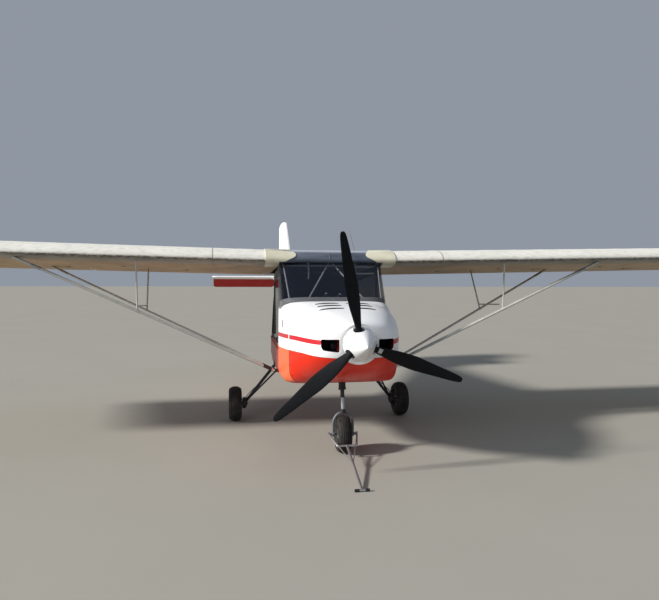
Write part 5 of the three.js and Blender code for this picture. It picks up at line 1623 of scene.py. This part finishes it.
def wheel_pieces(wheel, name, body_name, mirror):
    place = (wheel["x"], wheel["y"], wheel["radius"])
    rim, axle, half = wheel["rim"], wheel["axle"], wheel["width"] / 2
    tyre = turned(tyre_profile(wheel), 96, "x", place)
    bore, boss, bead = axle + 0.0004, half * 0.62, half * 0.72
    profile = [(bore, -boss), (bore + 0.018, -boss), (bore + 0.020, -boss + 0.003), (bore + 0.024, -0.014),
               (rim - 0.016, -0.012), (rim - 0.012, -bead + 0.020), (rim - 0.006, 0.004 - bead),
               (rim, 0.006 - bead), (rim, bead - 0.006), (rim - 0.006, bead - 0.004),
               (rim - 0.012, bead - 0.020), (rim - 0.016, 0.012), (bore + 0.024, 0.014),
               (bore + 0.020, boss - 0.003), (bore + 0.018, boss), (bore, boss)]
    disc = turned(profile, 72, "x", place)
    middle = (bore + 0.024 + rim - 0.016) / 2
    spin = lambda piece, angle: placed(piece, moved(place, angle))
    hole = min(0.008, (rim - 0.016 - bore - 0.024) * 0.36)
    disc = cut(disc, *[spin(tube([(-0.03, 0, middle), (0.03, 0, middle)], hole, 20), 60 * k)
                       for k in range(6)])
    bolts = []
    for k in range(3):
        for end in (-1, 1):
            nut = turned([(0, 0), (0.0045, 0), (0.0045, end * 0.004), (0.002, end * 0.006),
                          (0, end * 0.006)], 6,
                         "x", (end * (boss + 0.0002), 0, bore + 0.0115))
            bolts.append(spin(nut, 120 * k + 60))
    nuts = join(bolts)
    parts = ((tyre, "tyre", rubber, "tyre"), (disc, "rim", alloy, "rim"), (nuts, "wheel_bolts", steel, None))
    for piece, kind, material, node in parts:
        if mirror:
            node = f"main_{node}_{{side}}" if node else None
            both_sides(piece, f"{name}_{kind}", material, node, body_name, sharp=40)
        else:
            dress(piece, f"{name}_{kind}", material, [f"nose_{node}"] if node else [], body_name, sharp=40)


def main_legs():
    inner = main_wheel["x"] - main_wheel["width"] / 2 - 0.024
    y, radius = main_wheel["y"], main_wheel["radius"]
    on_axle = lambda x: (x, y, radius)
    end = main_wheel["x"] + main_wheel["width"] / 2 - 0.008
    axle = tube([on_axle(inner - 0.040), on_axle(end)], main_wheel["axle"], 32)
    knee = (inner - 0.012, y, radius + 0.012)
    share = np.linspace(0, 1, 10)
    legs = []
    for foot, size in (((0.440, 1.985, 0.640), 0.0165), ((0.476, 1.490, 0.640), 0.009)):
        path = [tuple(a + (b - a) * t for a, b in zip(knee, foot)) for t in share]
        legs.append(tube(path, [size * (0.94 + 0.06 * t) for t in share], 24))
    whole = cut(fuse(axle, *legs), clear_of_cabin())
    both_sides(whole, "main_leg_tubes", gun_steel, "main_leg_{side}")
    drum = turned([(0.0125, -0.032), (0.030, -0.032), (0.034, -0.026), (0.046, -0.022), (0.054, -0.012),
                   (0.054, 0.012), (0.050, 0.016), (0.0125, 0.016)], 64, "x", on_axle(inner))
    shoe = rounded(block(inner - 0.026, inner + 0.010, y - 0.030, y + 0.030, radius + 0.036, radius + 0.062),
                   0.005, 2)
    both_sides(join([drum, shoe]), "main_brake", steel)
    hose = tube(curve([(inner - 0.020, y - 0.020, radius + 0.060), (inner - 0.040, y - 0.035, radius + 0.100),
                       (0.66, y - 0.030, 0.390), (0.52, y - 0.022, 0.548), (0.478, y - 0.016, 0.592)], 8),
                0.0035, 12)
    both_sides(cut(hose, clear_of_cabin()), "brake_hose", dark_trim, slot="dark_steel")
    cap = turned([(0, 0), (0.0115, 0), (0.0115, 0.004), (0.006, 0.007), (0, 0.007)], 6, "x", on_axle(end))
    both_sides(cap, "axle_nut", silver)


leg_rake = math.radians(11.4)
leg_top = (0.733, 0.603)


def leg_point(z):
    return (0, leg_top[0] - (leg_top[1] - z) * math.tan(leg_rake), z)


def nose_gear():
    low, high = Vector(leg_point(0.545)), Vector(leg_point(0.660))
    turn = Matrix.Translation(low) @ Matrix.Rotation(-leg_rake, 4, "X")
    length = (high - low).length
    collar = turned([(0.0176, 0.0), (0.030, 0.0), (0.034, 0.004), (0.034, 0.018), (0.031, 0.022),
                     (0.031, length), (0.0176, length)], 48)
    collar = cut(placed(collar, turn), clear_of_cabin(nose_rows[5:9]))
    dress(collar, "nose_collar", steel, ["nose_leg_collar"])
    y, radius, reach = nose_wheel["y"], nose_wheel["radius"], 0.087
    arch = [(-reach, y, radius), (-reach, y + 0.001, radius + 0.070), (0.006 - reach, y + 0.002, 0.292),
            (-0.046, y + 0.003, 0.341), (0, y + 0.003, 0.354)]
    arch += [(-px, py, pz) for px, py, pz in arch[-2::-1]]
    hoop = lambda radius: tube(curve(arch, 8), radius, 20)
    on_leg = lambda low, high, radius: tube([leg_point(low), leg_point(high)], radius, 32)
    plates = [turned([(0, side * 0.078), (0.019, side * 0.078), (0.021, side * 0.080), (0.021, side * 0.096),
                      (0.019, side * 0.098), (0, side * 0.098)], 32, "x", (0, y, radius)) for side in (1, -1)]
    axle = tube([(-0.112, y, radius), (0.112, y, radius)], nose_wheel["axle"], 24)
    fork = fuse(hoop(0.011), *plates, axle)
    dress(fork, "fork_hoop", frame_grey, ["nose_fork"], body="nose_leg")
    slider = cut(on_leg(0.352, 0.4795, 0.016), hoop(0.0112), on_leg(0.340, 0.3802, 0.0232))
    dress(slider, "nose_leg_slider", silver, body="nose_leg")
    leg = fuse(on_leg(0.480, 0.588, 0.0174), on_leg(0.480, 0.492, 0.021))
    rings = [on_leg(z, z + 0.008, 0.0245) for z in (0.352, 0.371)]
    sleeve = fuse(on_leg(0.346, 0.380, 0.023), *rings)
    leg = join([cut(leg, hoop(0.0112)), cut(sleeve, hoop(0.0112))])
    dress(leg, "nose_leg_tube", gun_steel, body="nose_leg")


def tow_bar():
    x, low = -0.050, 0.011
    tip_y = -0.292 + low
    axle = (nose_wheel["y"], nose_wheel["radius"])
    yoke, arm_x = (0.084, 0.496, 0.112), 0.126
    joint = (x * 0.45, 0.150, 0.064)
    parts = []
    for side in (1, -1):
        parts.append(tube([(side * 0.1123, *axle), (side * (arm_x + 0.005), *axle)], 0.016, 32))
        parts.append(tube([(side * arm_x, *axle), (side * yoke[0], *yoke[1:])], 0.008, 20))
        parts.append(tube([(side * arm_x, *axle), joint], 0.004, 12))
        ball = [(0.010 * math.sin(a) if 0 < a < math.pi else 0, -0.010 * math.cos(a))
                for a in np.linspace(0, math.pi, 13)]
        parts.append(turned(ball, 20, "z", (side * yoke[0], *yoke[1:])))
    parts.append(tube([(-yoke[0], *yoke[1:]), yoke], 0.009, 20))
    parts.append(tube([(0, *yoke[1:]), (x, tip_y, low)], 0.010, 24))
    parts.append(tube([(x - 0.055, tip_y, low), (x + 0.055, tip_y, low)], 0.0095, 24))
    whole = fuse(parts[0], *parts[1:])
    dress(whole, "tow_bar_tubes", silver, ["tow_bar"], body="tow_bar")
    grips = join([tube([(x + side * 0.022, tip_y, low), (x + side * 0.055, tip_y, low)], low, 24)
                  for side in (1, -1)])
    dress(grips, "tow_bar_grips", dark_trim, body="tow_bar", slot="dark_steel")


def small_fittings():
    """Boot latches, step fittings, cowl fasteners, and inspection rings under the wings."""
    latch = rounded(block(0.4975, 0.5035, 0.982, 0.994, 1.078, 1.148), 0.002, 2)
    both_sides(latch, "boot_latch", steel)
    fitting = rounded(block(0.502, 0.510, 1.800, 1.850, 0.610, 0.650), 0.003, 2)
    both_sides(fitting, "step_fitting", fitting_red)
    heads = []
    for z in (0.700, 0.790, 0.880, 1.000, 1.100, 1.190):
        y = 0.628 if z < 1.06 else 0.628 + (z - 1.06) * 0.92
        half, top, low, up, down = graded_at(nose_rows, y, 1, 2, 3, 5, 6)
        power, reach = (up, top - 1) if z > 1 else (down, 1 - low)
        x = half * (1 - abs((z - 1) / reach) ** power) ** (1 / power)
        profile = [(0, -0.002), (0.008, -0.002), (0.008, 0.0008), (0.006, 0.0018), (0, 0.0018)]
        heads.append(turned(profile, 18, "x", (x, y, z)))
    both_sides(join(heads), "cowl_fasteners", body_skin)
    rings = []
    for x, y in ((0.9, 0.95), (1.5, 0.62), (2.1, 0.95), (2.7, 0.55), (3.3, 0.95), (3.9, 0.62)):
        height = between(lower_curve, y) + 0.004
        rings.append(turned([(0.020, 0), (0.026, 0), (0.026, -0.0065), (0.020, -0.0065)], 28, "z",
                            (x, y, height)))
    both_sides(placed(join(rings), wing_frame), "inspection_rings", frame_grey)


cowls()
louvre_hoods()
inlet_ducts()
windscreen()
cabin()
centre_section()
wings()
wing_surfaces()
root_fairings()
fuel_caps()
doors()
rear_fuselage()
tailplane()
stabiliser_fillets()
elevator()
fin_and_rudder()
propeller()
engine()
cabin_frame()
instrument_panel()
cabin_details()
seats()
control_stick()
whip_antenna()
struts()
wheel_pieces(nose_wheel, "nose", "nose_wheel", False)
wheel_pieces(main_wheel, "main", "main_wheel_{side}", True)
main_legs()
nose_gear()
tow_bar()
small_fittings()


# Stage: a pale floor, a soft low sun from the left, a soft fill and a pale sky
def lamp(name, kind, aim, power, tint):
    light = linked(bpy.data.objects.new(name, bpy.data.lights.new(name, kind)))
    light.rotation_euler = Vector(aim).to_track_quat("-Z", "Y").to_euler()
    light.data.energy, light.data.color = power, tint
    return light


def stage():
    bpy.context.scene.view_settings.view_transform = "Standard"
    floor = new_object([(-60, -60, 0), (60, -60, 0), (60, 60, 0), (-60, 60, 0)], [(0, 1, 2, 3)])
    floor.name = "floor"
    pale = Finish("floor_pale", "#a19e95", 0.9, Specular_IOR_Level=0.2)
    pale.uneven(shade=0.04, scale=0.6)
    floor.data.materials.append(pale.material)
    key = lamp("key", "SUN", (20.5, 3.1, -11), 5.0, (1.0, 0.97, 0.92))
    key.data.angle = math.radians(6.0)
    fill = lamp("front_fill", "AREA", (8, 10, -3.8), 170, (1.0, 0.98, 0.95))
    fill.location = (-8, -11, 5)
    fill.data.shape, fill.data.size = "DISK", 5.0
    world = bpy.data.worlds.new("sky")
    bpy.context.scene.world = world
    world.use_nodes = True
    sky = world.node_tree.nodes["Background"]
    sky.inputs["Color"].default_value = (0.74, 0.83, 0.98, 1)
    sky.inputs["Strength"].default_value = 0.37


stage()
